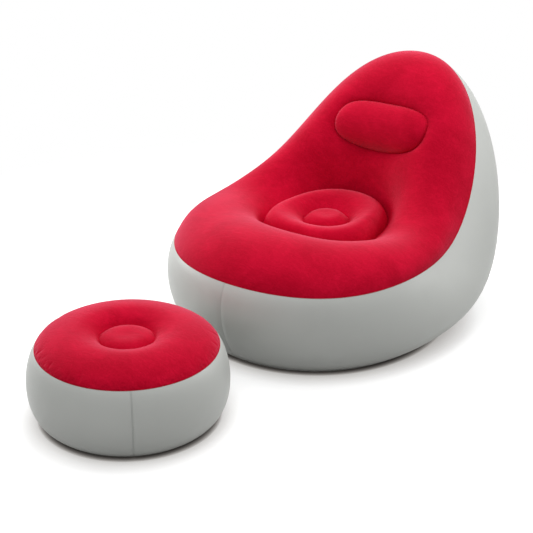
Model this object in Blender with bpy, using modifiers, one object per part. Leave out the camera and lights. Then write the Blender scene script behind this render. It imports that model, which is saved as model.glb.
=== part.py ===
"""Inflatable lounge chair with its matching round footstool.

The chair is one air bladder welded from film.  A velour faced top is drawn in along welded creases
into a fat bolster, which is front edge, arms and high back in one, round a seat pad with a round
button in its middle, and it carries an oval head pillow.  Two smooth side wall sheets bulge out
below the rim and roll under to a flat floor sheet.  The footstool is built the same way in the
round.  Each bladder has an air valve low at its back.

Metres, +Z up.  The chair faces -Y and the origin is the middle of its floor face.
Angles round the seat start at the front (-Y) and grow towards +X; the back is at half a turn.
"""

import math

import bmesh
import bpy
import numpy as np
from mathutils import Matrix, Vector

# Film, welds and clearances
WALL_FILM = 0.0005
VELOUR_FILM = 0.0007
TIE_FILM = 0.0004
WELD_RADIUS = 0.0010
CREASE_WELD_RADIUS = 0.0008
SEAM_HALF_WIDTH = 0.0030
SEAM_PROUD = 0.0003
SEAT_GAP = 0.0003

# Rim, where the velour top meets the side walls
RIM_RADIUS = 0.500
RIM_RADIUS_SHARES = (1.04, 0.98, 0.86, 0.98, 1.18)
RIM_FRONT_HEIGHT = 0.294
RIM_BACK_HEIGHT = 0.727
RIM_RISE_SHARES = (0.0, -0.025, 0.0, 0.38, 1.0)

# Floor outline
FLOOR_RADIUS = 0.400
FLOOR_RADIUS_SHARES = (1.12, 1.07, 0.96, 0.95, 0.99)

# Crease round the seat pad and crease round its button
PAD_RADIUS = 0.205
PAD_RADIUS_SHARES = (0.973, 1.036, 0.903, 1.0, 1.112)
PAD_CREASE_HEIGHT = 0.295
PAD_SETBACK = 0.009
BUTTON_RADIUS = 0.074
BUTTON_CREASE_HEIGHT = 0.315
BUTTON_SETBACK = 0.007

# Swell of the bolster: how steeply and how far it leaves the pad crease and the rim
BOLSTER_INNER_SLOPES = (80, 80, 44, 72, 81)
BOLSTER_INNER_REACH = 0.100
BOLSTER_INNER_REACH_SHARES = (1.64, 1.24, 1.29, 2.68, 5.80)
BOLSTER_RIM_SLOPES = (103, 114, 89, 133, 107)
BOLSTER_RIM_REACH = 0.100
BOLSTER_RIM_REACH_SHARES = (1.09, 1.09, 0.69, 1.38, 0.25)

# Bulge of the side walls: how steeply and how far they leave the rim and the floor
WALL_RIM_SLOPES = (-49, -56, -55, -49, -29)
WALL_RIM_REACH = 0.100
WALL_RIM_REACH_SHARES = (0.95, 0.85, 1.75, 2.4, 2.55)
WALL_FLOOR_SLOPES = (28, 26, 22, 27, 28)
WALL_FLOOR_REACH = 0.100
WALL_FLOOR_REACH_SHARES = (0.85, 1.05, 1.5, 2.5, 2.6)

# Seat pad, gentle at the button and full at its own edge, and the button's crown
PAD_INNER_SLOPE = 38
PAD_INNER_REACH = 0.039
PAD_EDGE_SLOPE = 73
PAD_EDGE_REACH = 0.116
BUTTON_SLOPE = 52
BUTTON_REACH = 0.041

# Head pillow on the backrest
PILLOW_HALF_WIDTH = 0.182
PILLOW_HALF_HEIGHT = 0.083
PILLOW_UP_THE_BACK = 0.267
PILLOW_BOW = 0.104
PILLOW_ASIDE = 0.010
PILLOW_TILT_SHARE = 0.109
PILLOW_SQUARENESS = 2.7
PILLOW_MARGIN = 0.045
PILLOW_CREASE_DEPTH = 0.016
PILLOW_CREASE_FADE_SHARE = 0.16
PILLOW_SWELL = 0.030
PILLOW_FULLNESS = 4

# Footstool, a turned bladder
STOOL_AHEAD = 0.908
STOOL_ASIDE = -0.053
STOOL_SEAM_TURN = math.radians(44)
STOOL_RIM_RADIUS = 0.269
STOOL_RIM_HEIGHT = 0.227
STOOL_FLOOR_RADIUS = 0.244
STOOL_BUTTON_RADIUS = 0.082
STOOL_BUTTON_HEIGHT = 0.248
STOOL_INNER_SLOPE = 62
STOOL_INNER_REACH = 0.075
STOOL_RIM_SLOPE = 105
STOOL_RIM_REACH = 0.030
STOOL_WALL_RIM_SLOPE = -49
STOOL_WALL_RIM_REACH = 0.054
STOOL_WALL_FLOOR_SLOPE = 23
STOOL_WALL_FLOOR_REACH = 0.083
STOOL_BUTTON_SLOPE = 42
STOOL_BUTTON_REACH = 0.032

# Air valves
VALVE_HEIGHT = 0.340
VALVE_TURN = math.radians(172)
STOOL_VALVE_HEIGHT = 0.110
STOOL_VALVE_TURN = math.radians(270)
VALVE_FLANGE_RADIUS = 0.0200
VALVE_FLANGE = 0.0016
VALVE_NECK_RADIUS = 0.0085
VALVE_NECK_DEPTH = 0.0160
VALVE_BORE_RADIUS = 0.0060
VALVE_SEAT_DEPTH = 0.0020
CAP_RADIUS = 0.0100
CAP_THICKNESS = 0.0016
CAP_PLUG_DEPTH = 0.0030
CAP_PLUG_TAPER = 0.0006
CAP_HINGE_RADIUS = 0.0011
CAP_HINGE_HALF_LENGTH = 0.0035
CAP_HINGE_INSET = 0.0030
CAP_TAB_REACH = 0.0040
CHEEK_WIDTH = 0.0014
FLAP_RADIUS = 0.0080
FLAP_THICKNESS = 0.0008

# Vents through the inner ties
VENT_EVERY = 4
VENT_LOW_SHARE = 0.35
VENT_HIGH_SHARE = 0.60

# Counts, and how far the chair's steps gather at its front and back
ROUND_STEPS = 48
GATHER_SHARE = 0.35
STOOL_STEPS = 36
VALVE_STEPS = 24
CURVE_STEPS = 64
BOLSTER_ROWS = 9
PAD_ROWS = 6
BUTTON_ROWS = 3
WALL_ROWS = 7
STOOL_TOP_ROWS = 7
STOOL_WALL_ROWS = 6
BARREL_STEPS = 12
STOOL_BEAD_SIDES = 6
WELD_FINENESS = 1
CREASE_FINENESS = 0
PILLOW_RING_SHARES = (1.0, 0.93, 0.78, 0.55, 0.28)
COLLAR_RING_SHARES = (0.14, 0.42)
PILLOW_TIE_RING_SHARES = (0.0, 0.4, 0.7)
NUDGE_SHARE = 0.01
CUTTER_OVERRUN = 0.004
MERGE_DISTANCE = 0.00005

# Looks: colour and roughness
VELOUR = ((0.55, 0.006, 0.030), 0.85)
VELOUR_WELD = ((0.55, 0.006, 0.030), 0.5)
WALL = ((0.50, 0.51, 0.49), 0.45)
WALL_WELD = ((0.50, 0.51, 0.49), 0.5)
VALVE = ((0.60, 0.60, 0.58), 0.4)
INNER = ((0.72, 0.74, 0.74), 0.4)


def clear_scene():
    for thing in list(bpy.data.objects):
        bpy.data.objects.remove(thing, do_unlink=True)


def new_collection(name):
    group = bpy.data.collections.new(name)
    bpy.context.scene.collection.children.link(group)
    return group


def add_material(thing, look):
    colour, roughness = look
    paint = bpy.data.materials.new(thing.name + "_finish")
    paint.use_nodes = True
    shader = paint.node_tree.nodes["Principled BSDF"]
    shader.inputs["Base Color"].default_value = (*colour, 1.0)
    shader.inputs["Roughness"].default_value = roughness
    shader.inputs["Metallic"].default_value = 0.0
    thing.data.materials.append(paint)


def finish(name, data, group, look):
    """Object of this name in the collection, with its own material and smooth shading"""
    thing = bpy.data.objects.new(name, data)
    group.objects.link(thing)
    add_material(thing, look)
    if isinstance(data, bpy.types.Mesh):
        data.shade_smooth()
    return thing


def moved_to(group, name):
    """The object that was just added, named and moved to the collection"""
    thing = bpy.context.active_object
    thing.name = name
    thing.data.name = name
    for holder in list(thing.users_collection):
        holder.objects.unlink(thing)
    group.objects.link(thing)
    return thing


def as_guide(name, cutters):
    """The object that was just added, hidden away as the tool of a Boolean"""
    guide = moved_to(cutters, name)
    guide.hide_render = True
    guide.display_type = "WIRE"
    return guide


def thicken(thing, thickness, offset):
    """Film thickness: offset -1 grows inward from the outer face, 0 grows both ways"""
    film = thing.modifiers.new("film", "SOLIDIFY")
    film.thickness = thickness
    film.offset = offset
    film.use_even_offset = True


def cosine_series(values, angle):
    """Smooth even run round the seat through values given at equal steps from front to back"""
    values = np.asarray(values, float)
    last = len(values) - 1
    order = np.arange(last + 1)
    weight = np.where((order == 0) | (order == last), 0.5, 1.0)
    waves = np.cos(np.pi * np.outer(order, order) / last)
    terms = 2.0 / last * weight * (waves @ (weight * values))
    return np.cos(np.multiply.outer(angle, order)) @ terms


def outward(angle):
    return np.stack([np.sin(angle), -np.cos(angle), np.zeros_like(angle)], -1)


def aim(angle, slope):
    """Unit direction that leaves the seat at this angle and climbs at this slope in degrees"""
    climb = np.radians(slope)
    flat = np.cos(climb)[..., None] * outward(angle)
    return flat + np.sin(climb)[..., None] * np.array([0.0, 0.0, 1.0])


def cubic(first, second, third, last, t):
    """Cubic Bezier curve at t from its four control points"""
    t = t[..., None]
    near = (1 - t) ** 3 * first + 3 * (1 - t) ** 2 * t * second
    return near + 3 * (1 - t) * t ** 2 * third + t ** 3 * last


def rim_ring(angle):
    radius = RIM_RADIUS * cosine_series(RIM_RADIUS_SHARES, angle)
    rise = cosine_series(RIM_RISE_SHARES, angle)
    ring = radius[..., None] * outward(angle)
    ring[..., 2] = RIM_FRONT_HEIGHT + (RIM_BACK_HEIGHT - RIM_FRONT_HEIGHT) * rise
    return ring


def floor_ring(angle):
    radius = FLOOR_RADIUS * cosine_series(FLOOR_RADIUS_SHARES, angle)
    ring = radius[..., None] * outward(angle)
    ring[..., 2] = WELD_RADIUS + SEAT_GAP
    return ring


def pad_ring(angle):
    """Level crease round the seat pad, flatter at the front and longer at the back"""
    radius = PAD_RADIUS * cosine_series(PAD_RADIUS_SHARES, angle)
    ring = radius[..., None] * outward(angle)
    ring[..., 1] += PAD_SETBACK
    ring[..., 2] = PAD_CREASE_HEIGHT
    return ring


def round_ring(radius, height, setback):
    """Level circle about the seat's middle, moved back by setback"""
    def ring(angle):
        points = radius * outward(angle)
        points[..., 1] += setback
        points[..., 2] = height
        return points
    return ring


class Sheet:
    """Loft of cubic curves, one at each angle, from an inner or upper ring to an outer or lower one.

    Slopes are in degrees above the outward direction; both ends stop short of their weld bead.
    """

    def __init__(self, start, end, start_slope, start_reach, end_slope, end_reach, trims):
        self.start = start
        self.end = end
        self.slopes = (start_slope, end_slope)
        self.reaches = (start_reach, end_reach)
        self.trims = trims

    def curve(self, angle, t):
        first = self.start(angle)
        last = self.end(angle)
        second = first + self.reaches[0](angle)[..., None] * aim(angle, self.slopes[0](angle))
        third = last + self.reaches[1](angle)[..., None] * aim(angle, self.slopes[1](angle))
        return cubic(first, second, third, last, t)

    def length(self, angle):
        fine = self.curve(np.full(CURVE_STEPS + 1, angle), np.linspace(0, 1, CURVE_STEPS + 1))
        return np.linalg.norm(np.diff(fine, axis=0), axis=1).sum()

    def point(self, angle, share):
        """Points at shares of each curve's length between the trims"""
        angle, share = np.broadcast_arrays(np.asarray(angle, float), np.asarray(share, float))
        t = np.linspace(0, 1, CURVE_STEPS + 1)
        many = np.broadcast_to(angle[..., None], angle.shape + t.shape)
        fine = self.curve(many, np.broadcast_to(t, many.shape))
        step = np.linalg.norm(np.diff(fine, axis=-2), axis=-1)
        run = np.concatenate([np.zeros(angle.shape + (1,)), np.cumsum(step, -1)], -1)
        want = self.trims[0] + share * (run[..., -1] - self.trims[0] - self.trims[1])
        index = np.clip((run <= want[..., None]).sum(-1) - 1, 0, CURVE_STEPS - 1)[..., None]
        rest = want[..., None] - np.take_along_axis(run, index, -1)
        part = rest / np.take_along_axis(step, index, -1)
        low = np.take_along_axis(fine, index[..., None], -2)[..., 0, :]
        high = np.take_along_axis(fine, index[..., None] + 1, -2)[..., 0, :]
        return low + part * (high - low)

    def normal(self, angle, share):
        """Unit outward normal, away from the air inside"""
        share = np.clip(share, NUDGE_SHARE, 1 - NUDGE_SHARE)
        along = self.point(angle, share + NUDGE_SHARE) - self.point(angle, share - NUDGE_SHARE)
        across = self.point(angle + NUDGE_SHARE, share) - self.point(angle - NUDGE_SHARE, share)
        normal = np.cross(along, across)
        return normal / np.linalg.norm(normal, axis=-1, keepdims=True)


def steady(value):
    return lambda angle: np.full(np.shape(angle), float(value))


def varied(values, scale=1.0):
    return lambda angle: scale * cosine_series(values, angle)


def crown(crease_height, reach, slope):
    """Height of a button's middle over its crease's height"""
    return crease_height + reach * math.tan(math.radians(slope)) / 2


TRIM = WELD_RADIUS + SEAT_GAP
CREASE_TRIM = CREASE_WELD_RADIUS + SEAT_GAP
button_ring = round_ring(BUTTON_RADIUS, BUTTON_CREASE_HEIGHT, BUTTON_SETBACK)
button_middle = round_ring(0.0, crown(BUTTON_CREASE_HEIGHT, BUTTON_REACH, BUTTON_SLOPE), BUTTON_SETBACK)
bolster = Sheet(pad_ring, rim_ring,
                varied(BOLSTER_INNER_SLOPES), varied(BOLSTER_INNER_REACH_SHARES, BOLSTER_INNER_REACH),
                varied(BOLSTER_RIM_SLOPES), varied(BOLSTER_RIM_REACH_SHARES, BOLSTER_RIM_REACH),
                (CREASE_TRIM, TRIM))
wall = Sheet(rim_ring, floor_ring,
             varied(WALL_RIM_SLOPES), varied(WALL_RIM_REACH_SHARES, WALL_RIM_REACH),
             varied(WALL_FLOOR_SLOPES), varied(WALL_FLOOR_REACH_SHARES, WALL_FLOOR_REACH),
             (TRIM, TRIM))
pad = Sheet(button_ring, pad_ring, steady(PAD_INNER_SLOPE), steady(PAD_INNER_REACH),
            steady(180 - PAD_EDGE_SLOPE), steady(PAD_EDGE_REACH), (CREASE_TRIM, CREASE_TRIM))
button = Sheet(button_middle, button_ring, steady(0), steady(BUTTON_REACH),
               steady(180 - BUTTON_SLOPE), steady(BUTTON_REACH), (0.0, CREASE_TRIM))


def set_off(line, tangent, other, reach):
    """Points a reach away from a line, square to its tangent, on the side of the other points"""
    tangent = tangent / np.linalg.norm(tangent, axis=-1, keepdims=True)
    toward = other - line
    toward = toward - (toward * tangent).sum(axis=-1, keepdims=True) * tangent
    return line + reach * toward / np.linalg.norm(toward, axis=-1, keepdims=True)


def clear_of(ring, angle, other, reach):
    """Edge of a skin that lies a reach from the weld bead along a ring"""
    tangent = ring(angle + NUDGE_SHARE) - ring(angle - NUDGE_SHARE)
    return set_off(ring(angle), tangent, other, reach)


def sheet_rows(sheet, angles, shares):
    """Rows of points of a sheet, its edge rows kept clear of the weld beads"""
    rows = [sheet.point(angle, share) for angle, share in zip(angles, shares)]
    if sheet.trims[0]:
        rows[0] = clear_of(sheet.start, angles[0], rows[1], sheet.trims[0])
    rows[-1] = clear_of(sheet.end, angles[-1], rows[-2], sheet.trims[1])
    return rows


def turn_angles(steps):
    return 2 * np.pi * np.arange(steps) / steps


def chair_angles():
    """Angles round the chair, closer together at its narrow front and back"""
    even = turn_angles(ROUND_STEPS)
    return even - GATHER_SHARE / 2 * np.sin(2 * even)


def loft_faces(rows, columns, closed):
    """Quads between rows of points that are numbered row by row"""
    last = columns if closed else columns - 1
    faces = []
    for row in range(rows - 1):
        for column in range(last):
            beside = (column + 1) % columns
            faces.append((row * columns + column, (row + 1) * columns + column,
                          (row + 1) * columns + beside, row * columns + beside))
    return faces


def mesh_from(name, points, faces):
    data = bpy.data.meshes.new(name)
    data.from_pydata([tuple(p) for p in points], [], faces)
    data.validate()
    return data


def add_ring_skin(name, sheet, rows, group):
    """Velour skin all the way round between two creases"""
    angles = chair_angles()
    shares = np.linspace(0, 1, rows + 1)
    points = np.concatenate(sheet_rows(sheet, [angles] * (rows + 1), shares))
    faces = loft_faces(rows + 1, ROUND_STEPS, True)
    thicken(finish(name, mesh_from(name, points, faces), group, VELOUR), VELOUR_FILM, -1.0)


def add_dome_skin(name, sheet, rows, group):
    """Velour dome over the button, closed at its middle point"""
    angles = chair_angles()
    shares = np.linspace(0, 1, rows + 1)
    points = [sheet.point(0.0, 0.0)]
    for ring in sheet_rows(sheet, [angles] * (rows + 1), shares)[1:]:
        points.extend(ring)
    fan = [(0, 1 + column, 1 + (column + 1) % ROUND_STEPS) for column in range(ROUND_STEPS)]
    rings = [tuple(corner + 1 for corner in face) for face in loft_faces(rows, ROUND_STEPS, True)]
    thicken(finish(name, mesh_from(name, points, fan + rings), group, VELOUR), VELOUR_FILM, -1.0)


def pillow_chart(across, upward):
    """Angle and share on the bolster of a place on the backrest in metres from the pillow's middle"""
    across, upward = np.broadcast_arrays(np.asarray(across, float), np.asarray(upward, float))
    run = bolster.length(np.pi)
    rise = PILLOW_BOW * (across / PILLOW_HALF_WIDTH) ** 2 + PILLOW_TILT_SHARE * across
    share = np.clip((PILLOW_UP_THE_BACK + upward + rise) / run, 0.0, 1.0)
    radius = np.abs(bolster.point(np.full(share.shape, np.pi), share)[..., 1])
    return np.pi - np.arcsin(np.clip((across + PILLOW_ASIDE) / radius, -1.0, 1.0)), share


def pillow_edge(turn):
    """Rounded outline of the pillow in metres from its middle, at this turn round it"""
    cosine = np.cos(turn)
    sine = np.sin(turn)
    total = np.abs(cosine) ** PILLOW_SQUARENESS + np.abs(sine) ** PILLOW_SQUARENESS
    size = total ** (-1 / PILLOW_SQUARENESS)
    return PILLOW_HALF_WIDTH * size * cosine, PILLOW_HALF_HEIGHT * size * sine


def pillow_block():
    """Rows and columns of the bolster's grid that make room for the pillow and its collar"""
    run = bolster.length(np.pi)
    reach = PILLOW_HALF_WIDTH + PILLOW_MARGIN + abs(PILLOW_ASIDE)
    side_angle = pillow_chart(reach, 0.0)[0]
    low = (PILLOW_UP_THE_BACK - PILLOW_HALF_HEIGHT - PILLOW_MARGIN) / run
    high = (PILLOW_UP_THE_BACK + PILLOW_HALF_HEIGHT + PILLOW_BOW + PILLOW_MARGIN) / run
    middle = ROUND_STEPS // 2
    half = int((chair_angles()[middle:] < 2 * np.pi - side_angle).sum())
    half = min(half, ROUND_STEPS // 4)
    rows = (max(1, round(low * BOLSTER_ROWS)), min(BOLSTER_ROWS - 1, math.ceil(high * BOLSTER_ROWS)))
    return rows, (middle - half, middle + half)


def block_border(rows, columns):
    """Grid places round the block, in order, as (row, column)"""
    bottom = [(rows[0], column) for column in range(columns[0], columns[1])]
    right = [(row, columns[1]) for row in range(rows[0], rows[1])]
    top = [(rows[1], column) for column in range(columns[1], columns[0], -1)]
    left = [(row, columns[0]) for row in range(rows[1], rows[0], -1)]
    return bottom + right + top + left


def pillow_frame():
    """Grid places round the pillow, their angles and shares, and their turn round it"""
    rows, columns = pillow_block()
    border = block_border(rows, columns)
    angle = chair_angles()[[column for row, column in border]]
    share = np.array([row / BOLSTER_ROWS for row, column in border])
    middle_angle, middle_share = pillow_chart(0.0, 0.0)
    half_angle = middle_angle - pillow_chart(PILLOW_HALF_WIDTH, 0.0)[0]
    sideways = (middle_angle - angle) / half_angle
    rise = PILLOW_BOW * np.minimum(np.abs(sideways), 1.0) ** 2
    rise = rise + PILLOW_TILT_SHARE * PILLOW_HALF_WIDTH * np.clip(sideways, -1.0, 1.0)
    upward = (share - middle_share) * bolster.length(np.pi) - rise
    return border, angle, share, np.arctan2(upward / PILLOW_HALF_HEIGHT, sideways)


def pillow_outline():
    """Angles and shares on the bolster of the pillow's outline, one for each grid place round it"""
    turn = pillow_frame()[-1]
    return pillow_chart(*pillow_edge(turn))


def crease_dip(share):
    """Depth of the dip beside the pillow's crease at this share of the collar's width"""
    return PILLOW_CREASE_DEPTH * np.exp(-share / PILLOW_CREASE_FADE_SHARE) * (1 - share)


def pushed(angle, share, lift):
    """Points of the bolster's surface lifted along its outward normal"""
    return bolster.point(angle, share) + np.asarray(lift)[..., None] * bolster.normal(angle, share)


def along_loop(line):
    """Direction of a closed line at each of its points"""
    return np.roll(line, -1, axis=0) - np.roll(line, 1, axis=0)


def crease_points():
    """Bottom of the pillow's crease"""
    edge_angle, edge_share = pillow_outline()
    return pushed(edge_angle, edge_share, np.full(edge_angle.shape, -PILLOW_CREASE_DEPTH))


def add_bolster(group):
    """Bolster skin: a full ring of the loft, with a collar that dips to the pillow's crease"""
    angles = chair_angles()
    rows, columns = pillow_block()
    places = {}
    points = []
    shares = np.linspace(0, 1, BOLSTER_ROWS + 1)
    for row, ring in enumerate(sheet_rows(bolster, [angles] * (BOLSTER_ROWS + 1), shares)):
        for column in range(ROUND_STEPS):
            inside = rows[0] < row < rows[1] and columns[0] < column < columns[1]
            if not inside:
                places[row, column] = len(points)
                points.append(ring[column])
    faces = []
    for row in range(BOLSTER_ROWS):
        for column in range(ROUND_STEPS):
            if rows[0] <= row < rows[1] and columns[0] <= column < columns[1]:
                continue
            beside = (column + 1) % ROUND_STEPS
            faces.append((places[row, column], places[row + 1, column],
                          places[row + 1, beside], places[row, beside]))
    border, angle, share = pillow_frame()[:-1]
    edge_angle, edge_share = pillow_outline()
    crease = crease_points()
    loops = [[places[place] for place in border]]
    for width in COLLAR_RING_SHARES[::-1]:
        ring_angle = edge_angle + width * (angle - edge_angle)
        ring_share = edge_share + width * (share - edge_share)
        ring = pushed(ring_angle, ring_share, np.full(angle.shape, -crease_dip(width)))
        loops.append(list(range(len(points), len(points) + len(border))))
        points.extend(ring)
    inner = np.array(points[-len(border):])
    loops.append(list(range(len(points), len(points) + len(border))))
    points.extend(set_off(crease, along_loop(crease), inner, CREASE_TRIM))
    for outer, inside in zip(loops[:-1], loops[1:]):
        for k in range(len(border)):
            beside = (k + 1) % len(border)
            faces.append((outer[k], inside[k], inside[beside], outer[beside]))
    skin = finish("bolster_skin", mesh_from("bolster_skin", points, faces), group, VELOUR)
    orient(skin, Vector((0.0, 0.0, 1.0)))
    thicken(skin, VELOUR_FILM, -1.0)


def add_pillow(group):
    """Head pillow skin, a dome on the crease outline that follows the backrest's own curve"""
    edge_angle, edge_share = pillow_outline()
    middle_angle, middle_share = pillow_chart(0.0, 0.0)
    crease = crease_points()
    count = len(edge_angle)
    points = []
    for ring_share in PILLOW_RING_SHARES:
        angle = middle_angle + ring_share * (edge_angle - middle_angle)
        share = middle_share + ring_share * (edge_share - middle_share)
        rise = math.sqrt(1 - ring_share ** PILLOW_FULLNESS)
        lift = -PILLOW_CREASE_DEPTH + (PILLOW_CREASE_DEPTH + PILLOW_SWELL) * rise
        points.append(pushed(angle, share, np.full(count, lift)))
    points[0] = set_off(crease, along_loop(crease), points[1], CREASE_TRIM)
    points = list(np.concatenate(points))
    points.append(pushed(middle_angle, middle_share, PILLOW_SWELL))
    faces = loft_faces(len(PILLOW_RING_SHARES), count, True)
    last = (len(PILLOW_RING_SHARES) - 1) * count
    faces += [(last + k, len(points) - 1, last + (k + 1) % count) for k in range(count)]
    skin = finish("head_pillow_skin", mesh_from("head_pillow_skin", points, faces), group, VELOUR)
    orient(skin, Vector((0.0, -1.0, 0.0)))
    thicken(skin, VELOUR_FILM, -1.0)


def orient(thing, direction):
    """Turn the faces of an open skin so that it looks along the direction on the whole"""
    bm = bmesh.new()
    bm.from_mesh(thing.data)
    bmesh.ops.recalc_face_normals(bm, faces=bm.faces[:])
    total = Vector((0.0, 0.0, 0.0))
    for face in bm.faces:
        total += face.normal * face.calc_area()
    if total.dot(direction) < 0:
        bmesh.ops.reverse_faces(bm, faces=bm.faces[:])
    bm.to_mesh(thing.data)
    bm.free()


def add_pillow_tie(group):
    """Inner sheet across the back of the pillow, vented, that holds its outline in"""
    crease = crease_points()
    edge_angle, edge_share = pillow_outline()
    inward = -bolster.normal(edge_angle, edge_share)
    centre = crease.mean(axis=0)
    outer = set_off(crease, along_loop(crease), centre, CREASE_TRIM) + TIE_FILM * inward
    count = len(crease)
    rings = [outer + share * (centre - outer) for share in PILLOW_TIE_RING_SHARES]
    points = list(np.concatenate(rings)) + [centre]
    faces = []
    for face in loft_faces(len(rings), count, True):
        vent = face[0] >= count and face[0] % VENT_EVERY == 0
        if not vent:
            faces.append(face)
    last = (len(rings) - 1) * count
    faces += [(last + k, len(points) - 1, last + (k + 1) % count) for k in range(count)]
    thicken(finish("pillow_tie_sheet", mesh_from("pillow_tie_sheet", points, faces), group, INNER),
            TIE_FILM, 0.0)


def add_tie_wall(name, ring, angles, group):
    """Upright inner tie from a crease down to the floor sheet, with a row of air vents"""
    top = ring(angles)
    steps = len(angles)
    points = []
    low = WALL_FILM + SEAT_GAP
    level_shares = (0.0, VENT_LOW_SHARE, VENT_HIGH_SHARE, 1.0)
    for share in level_shares:
        level = top.copy()
        level[:, 2] = low + share * (top[:, 2] - CREASE_TRIM - low)
        points.extend(level)
    faces = []
    for face in loft_faces(len(level_shares), steps, True):
        middle_row = steps <= face[0] < 2 * steps
        if not (middle_row and face[0] % VENT_EVERY == 0):
            faces.append(face)
    tie = finish(name, mesh_from(name, points, faces), group, INNER)
    thicken(tie, TIE_FILM, 0.0)
    return tie


def add_bead(name, points, radius, fineness, group, look):
    """Weld bead: a closed round bead along a ring"""
    data = bpy.data.curves.new(name, "CURVE")
    data.dimensions = "3D"
    spline = data.splines.new("POLY")
    spline.points.add(len(points) - 1)
    for place, point in zip(spline.points, points):
        place.co = (*point, 1.0)
    spline.use_cyclic_u = True
    data.bevel_depth = radius
    data.bevel_resolution = fineness
    finish(name, data, group, look)


def seam_angles(front, shares, reach):
    """Angle on the side wall at each share that lies a reach to the side of the seam line"""
    middle = np.zeros(len(shares)) if front else np.full(len(shares), np.pi)
    radius = np.abs(wall.point(middle, shares)[:, 1])
    turn = np.arcsin(reach / radius)
    return turn if front else np.pi - turn


def wall_grid(side):
    """Points of one side wall, by row and column, from the front seam to the rear seam"""
    shares = np.linspace(0, 1, WALL_ROWS + 1)
    inner = chair_angles()[1:ROUND_STEPS // 2]
    reach = SEAM_HALF_WIDTH + SEAT_GAP
    front = seam_angles(True, shares, reach)
    rear = seam_angles(False, shares, reach)
    angles = [np.concatenate([[front[row]], inner, [rear[row]]]) for row in range(WALL_ROWS + 1)]
    grid = np.array(sheet_rows(wall, angles, shares))
    grid[..., 0] *= side
    return grid


def valve_cell(grid, height, turn):
    """Cell of the wall's grid for the valve: the one at this turn, nearest this height"""
    column = int((chair_angles() < turn).sum()) - 1
    middles = (grid[:-1, column, 2] + grid[1:, column + 1, 2]) / 2
    row = int(np.argmin(np.abs(middles - height)))
    return row, column


def flatten_cell(grid, row, column):
    """Make the cell's corners coplanar, and give its middle and outward normal"""
    corners = [(row, column), (row + 1, column), (row + 1, column + 1), (row, column + 1)]
    places = np.array([grid[c] for c in corners])
    middle = places.mean(axis=0)
    normal = np.cross(places[2] - places[0], places[3] - places[1])
    normal /= np.linalg.norm(normal)
    if np.dot(normal[:2], middle[:2]) < 0:
        normal = -normal
    for corner, place in zip(corners, places):
        grid[corner] = place - np.dot(place - middle, normal) * normal
    return middle, normal


def add_walls(group, cutters):
    """Two side wall sheets; the right one carries the chair's valve"""
    seat = None
    for name, side in (("right_wall_skin", 1), ("left_wall_skin", -1)):
        grid = wall_grid(side)
        if side > 0:
            row, column = valve_cell(grid, VALVE_HEIGHT, VALVE_TURN)
            seat = flatten_cell(grid, row, column)
        rows, columns = grid.shape[:2]
        faces = loft_faces(rows, columns, False)
        if side < 0:
            faces = [face[::-1] for face in faces]
        skin = finish(name, mesh_from(name, grid.reshape(-1, 3), faces), group, WALL)
        thicken(skin, WALL_FILM, -1.0)
        if side > 0:
            cut_neck_hole(skin, seat_matrix(*seat), cutters)
    return seat


def add_seam(name, front, group):
    """Upright lap weld between the two side walls, a little proud of them on both faces"""
    shares = np.linspace(0, 1, WALL_ROWS + 1)
    turn = seam_angles(front, shares, SEAM_HALF_WIDTH)
    middle = 0.0 if front else np.pi
    angles = [np.array([2 * middle - side, middle, side]) for side in turn]
    lines = sheet_rows(wall, angles, shares)
    rows = [line + SEAM_PROUD * wall.normal(angle, share)
            for line, angle, share in zip(lines, angles, shares)]
    faces = loft_faces(len(rows), len(angles[0]), False)
    strip = finish(name, mesh_from(name, np.concatenate(rows), faces), group, WALL)
    orient(strip, Vector((0.0, -1.0 if front else 1.0, 0.0)))
    thicken(strip, WALL_FILM + 2 * SEAM_PROUD, -1.0)


def add_floor(name, points, group):
    """Flat floor sheet, standing on the ground"""
    data = bpy.data.meshes.new(name)
    data.from_pydata([(*p[:2], 0.0) for p in points], [], [tuple(range(len(points)))[::-1]])
    thicken(finish(name, data, group, WALL), WALL_FILM, -1.0)


def seat_matrix(middle, normal):
    """Frame of a valve on the wall: Z out of the wall, X level, Y up the wall"""
    z = Vector(normal)
    x = Vector((0.0, 0.0, 1.0)).cross(z).normalized()
    y = z.cross(x)
    turn = Matrix((x, y, z)).transposed()
    return Matrix.Translation(Vector(middle)) @ turn.to_4x4()


def cut_neck_hole(skin, matrix, cutters):
    """Round hole through the film for the valve's neck"""
    radius = VALVE_NECK_RADIUS + SEAT_GAP
    bpy.ops.mesh.primitive_cylinder_add(vertices=VALVE_STEPS, radius=radius, depth=2 * CUTTER_OVERRUN)
    cutter = as_guide(skin.name + "_neck_hole", cutters)
    cutter.matrix_world = matrix
    join_with(skin, cutter, "DIFFERENCE")


def join_with(thing, other, operation="UNION"):
    step = thing.modifiers.new(other.name, "BOOLEAN")
    step.operation = operation
    step.object = other


def add_turned(name, profile, steps, group, look, closed_profile=False):
    """Turned piece: a profile of radius and height, outer side running down, screwed round Z"""
    data = bpy.data.meshes.new(name)
    count = len(profile)
    edges = [(k, k + 1) for k in range(count - 1)]
    if closed_profile:
        edges.append((count - 1, 0))
    data.from_pydata([(radius, 0.0, height) for radius, height in profile], edges, [])
    thing = finish(name, data, group, look)
    turn = thing.modifiers.new("turn", "SCREW")
    turn.axis = "Z"
    turn.steps = steps
    turn.render_steps = steps
    turn.use_merge_vertices = True
    turn.merge_threshold = MERGE_DISTANCE
    turn.use_smooth_shade = True
    return thing


def bar(name, size, centre, cutters):
    """Block of this size, as a guide for a Boolean"""
    bpy.ops.mesh.primitive_cube_add(size=1.0)
    block = as_guide(name, cutters)
    block.data.transform(Matrix.Translation(Vector(centre)) @ Matrix.Diagonal((*size, 1.0)))
    return block


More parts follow.
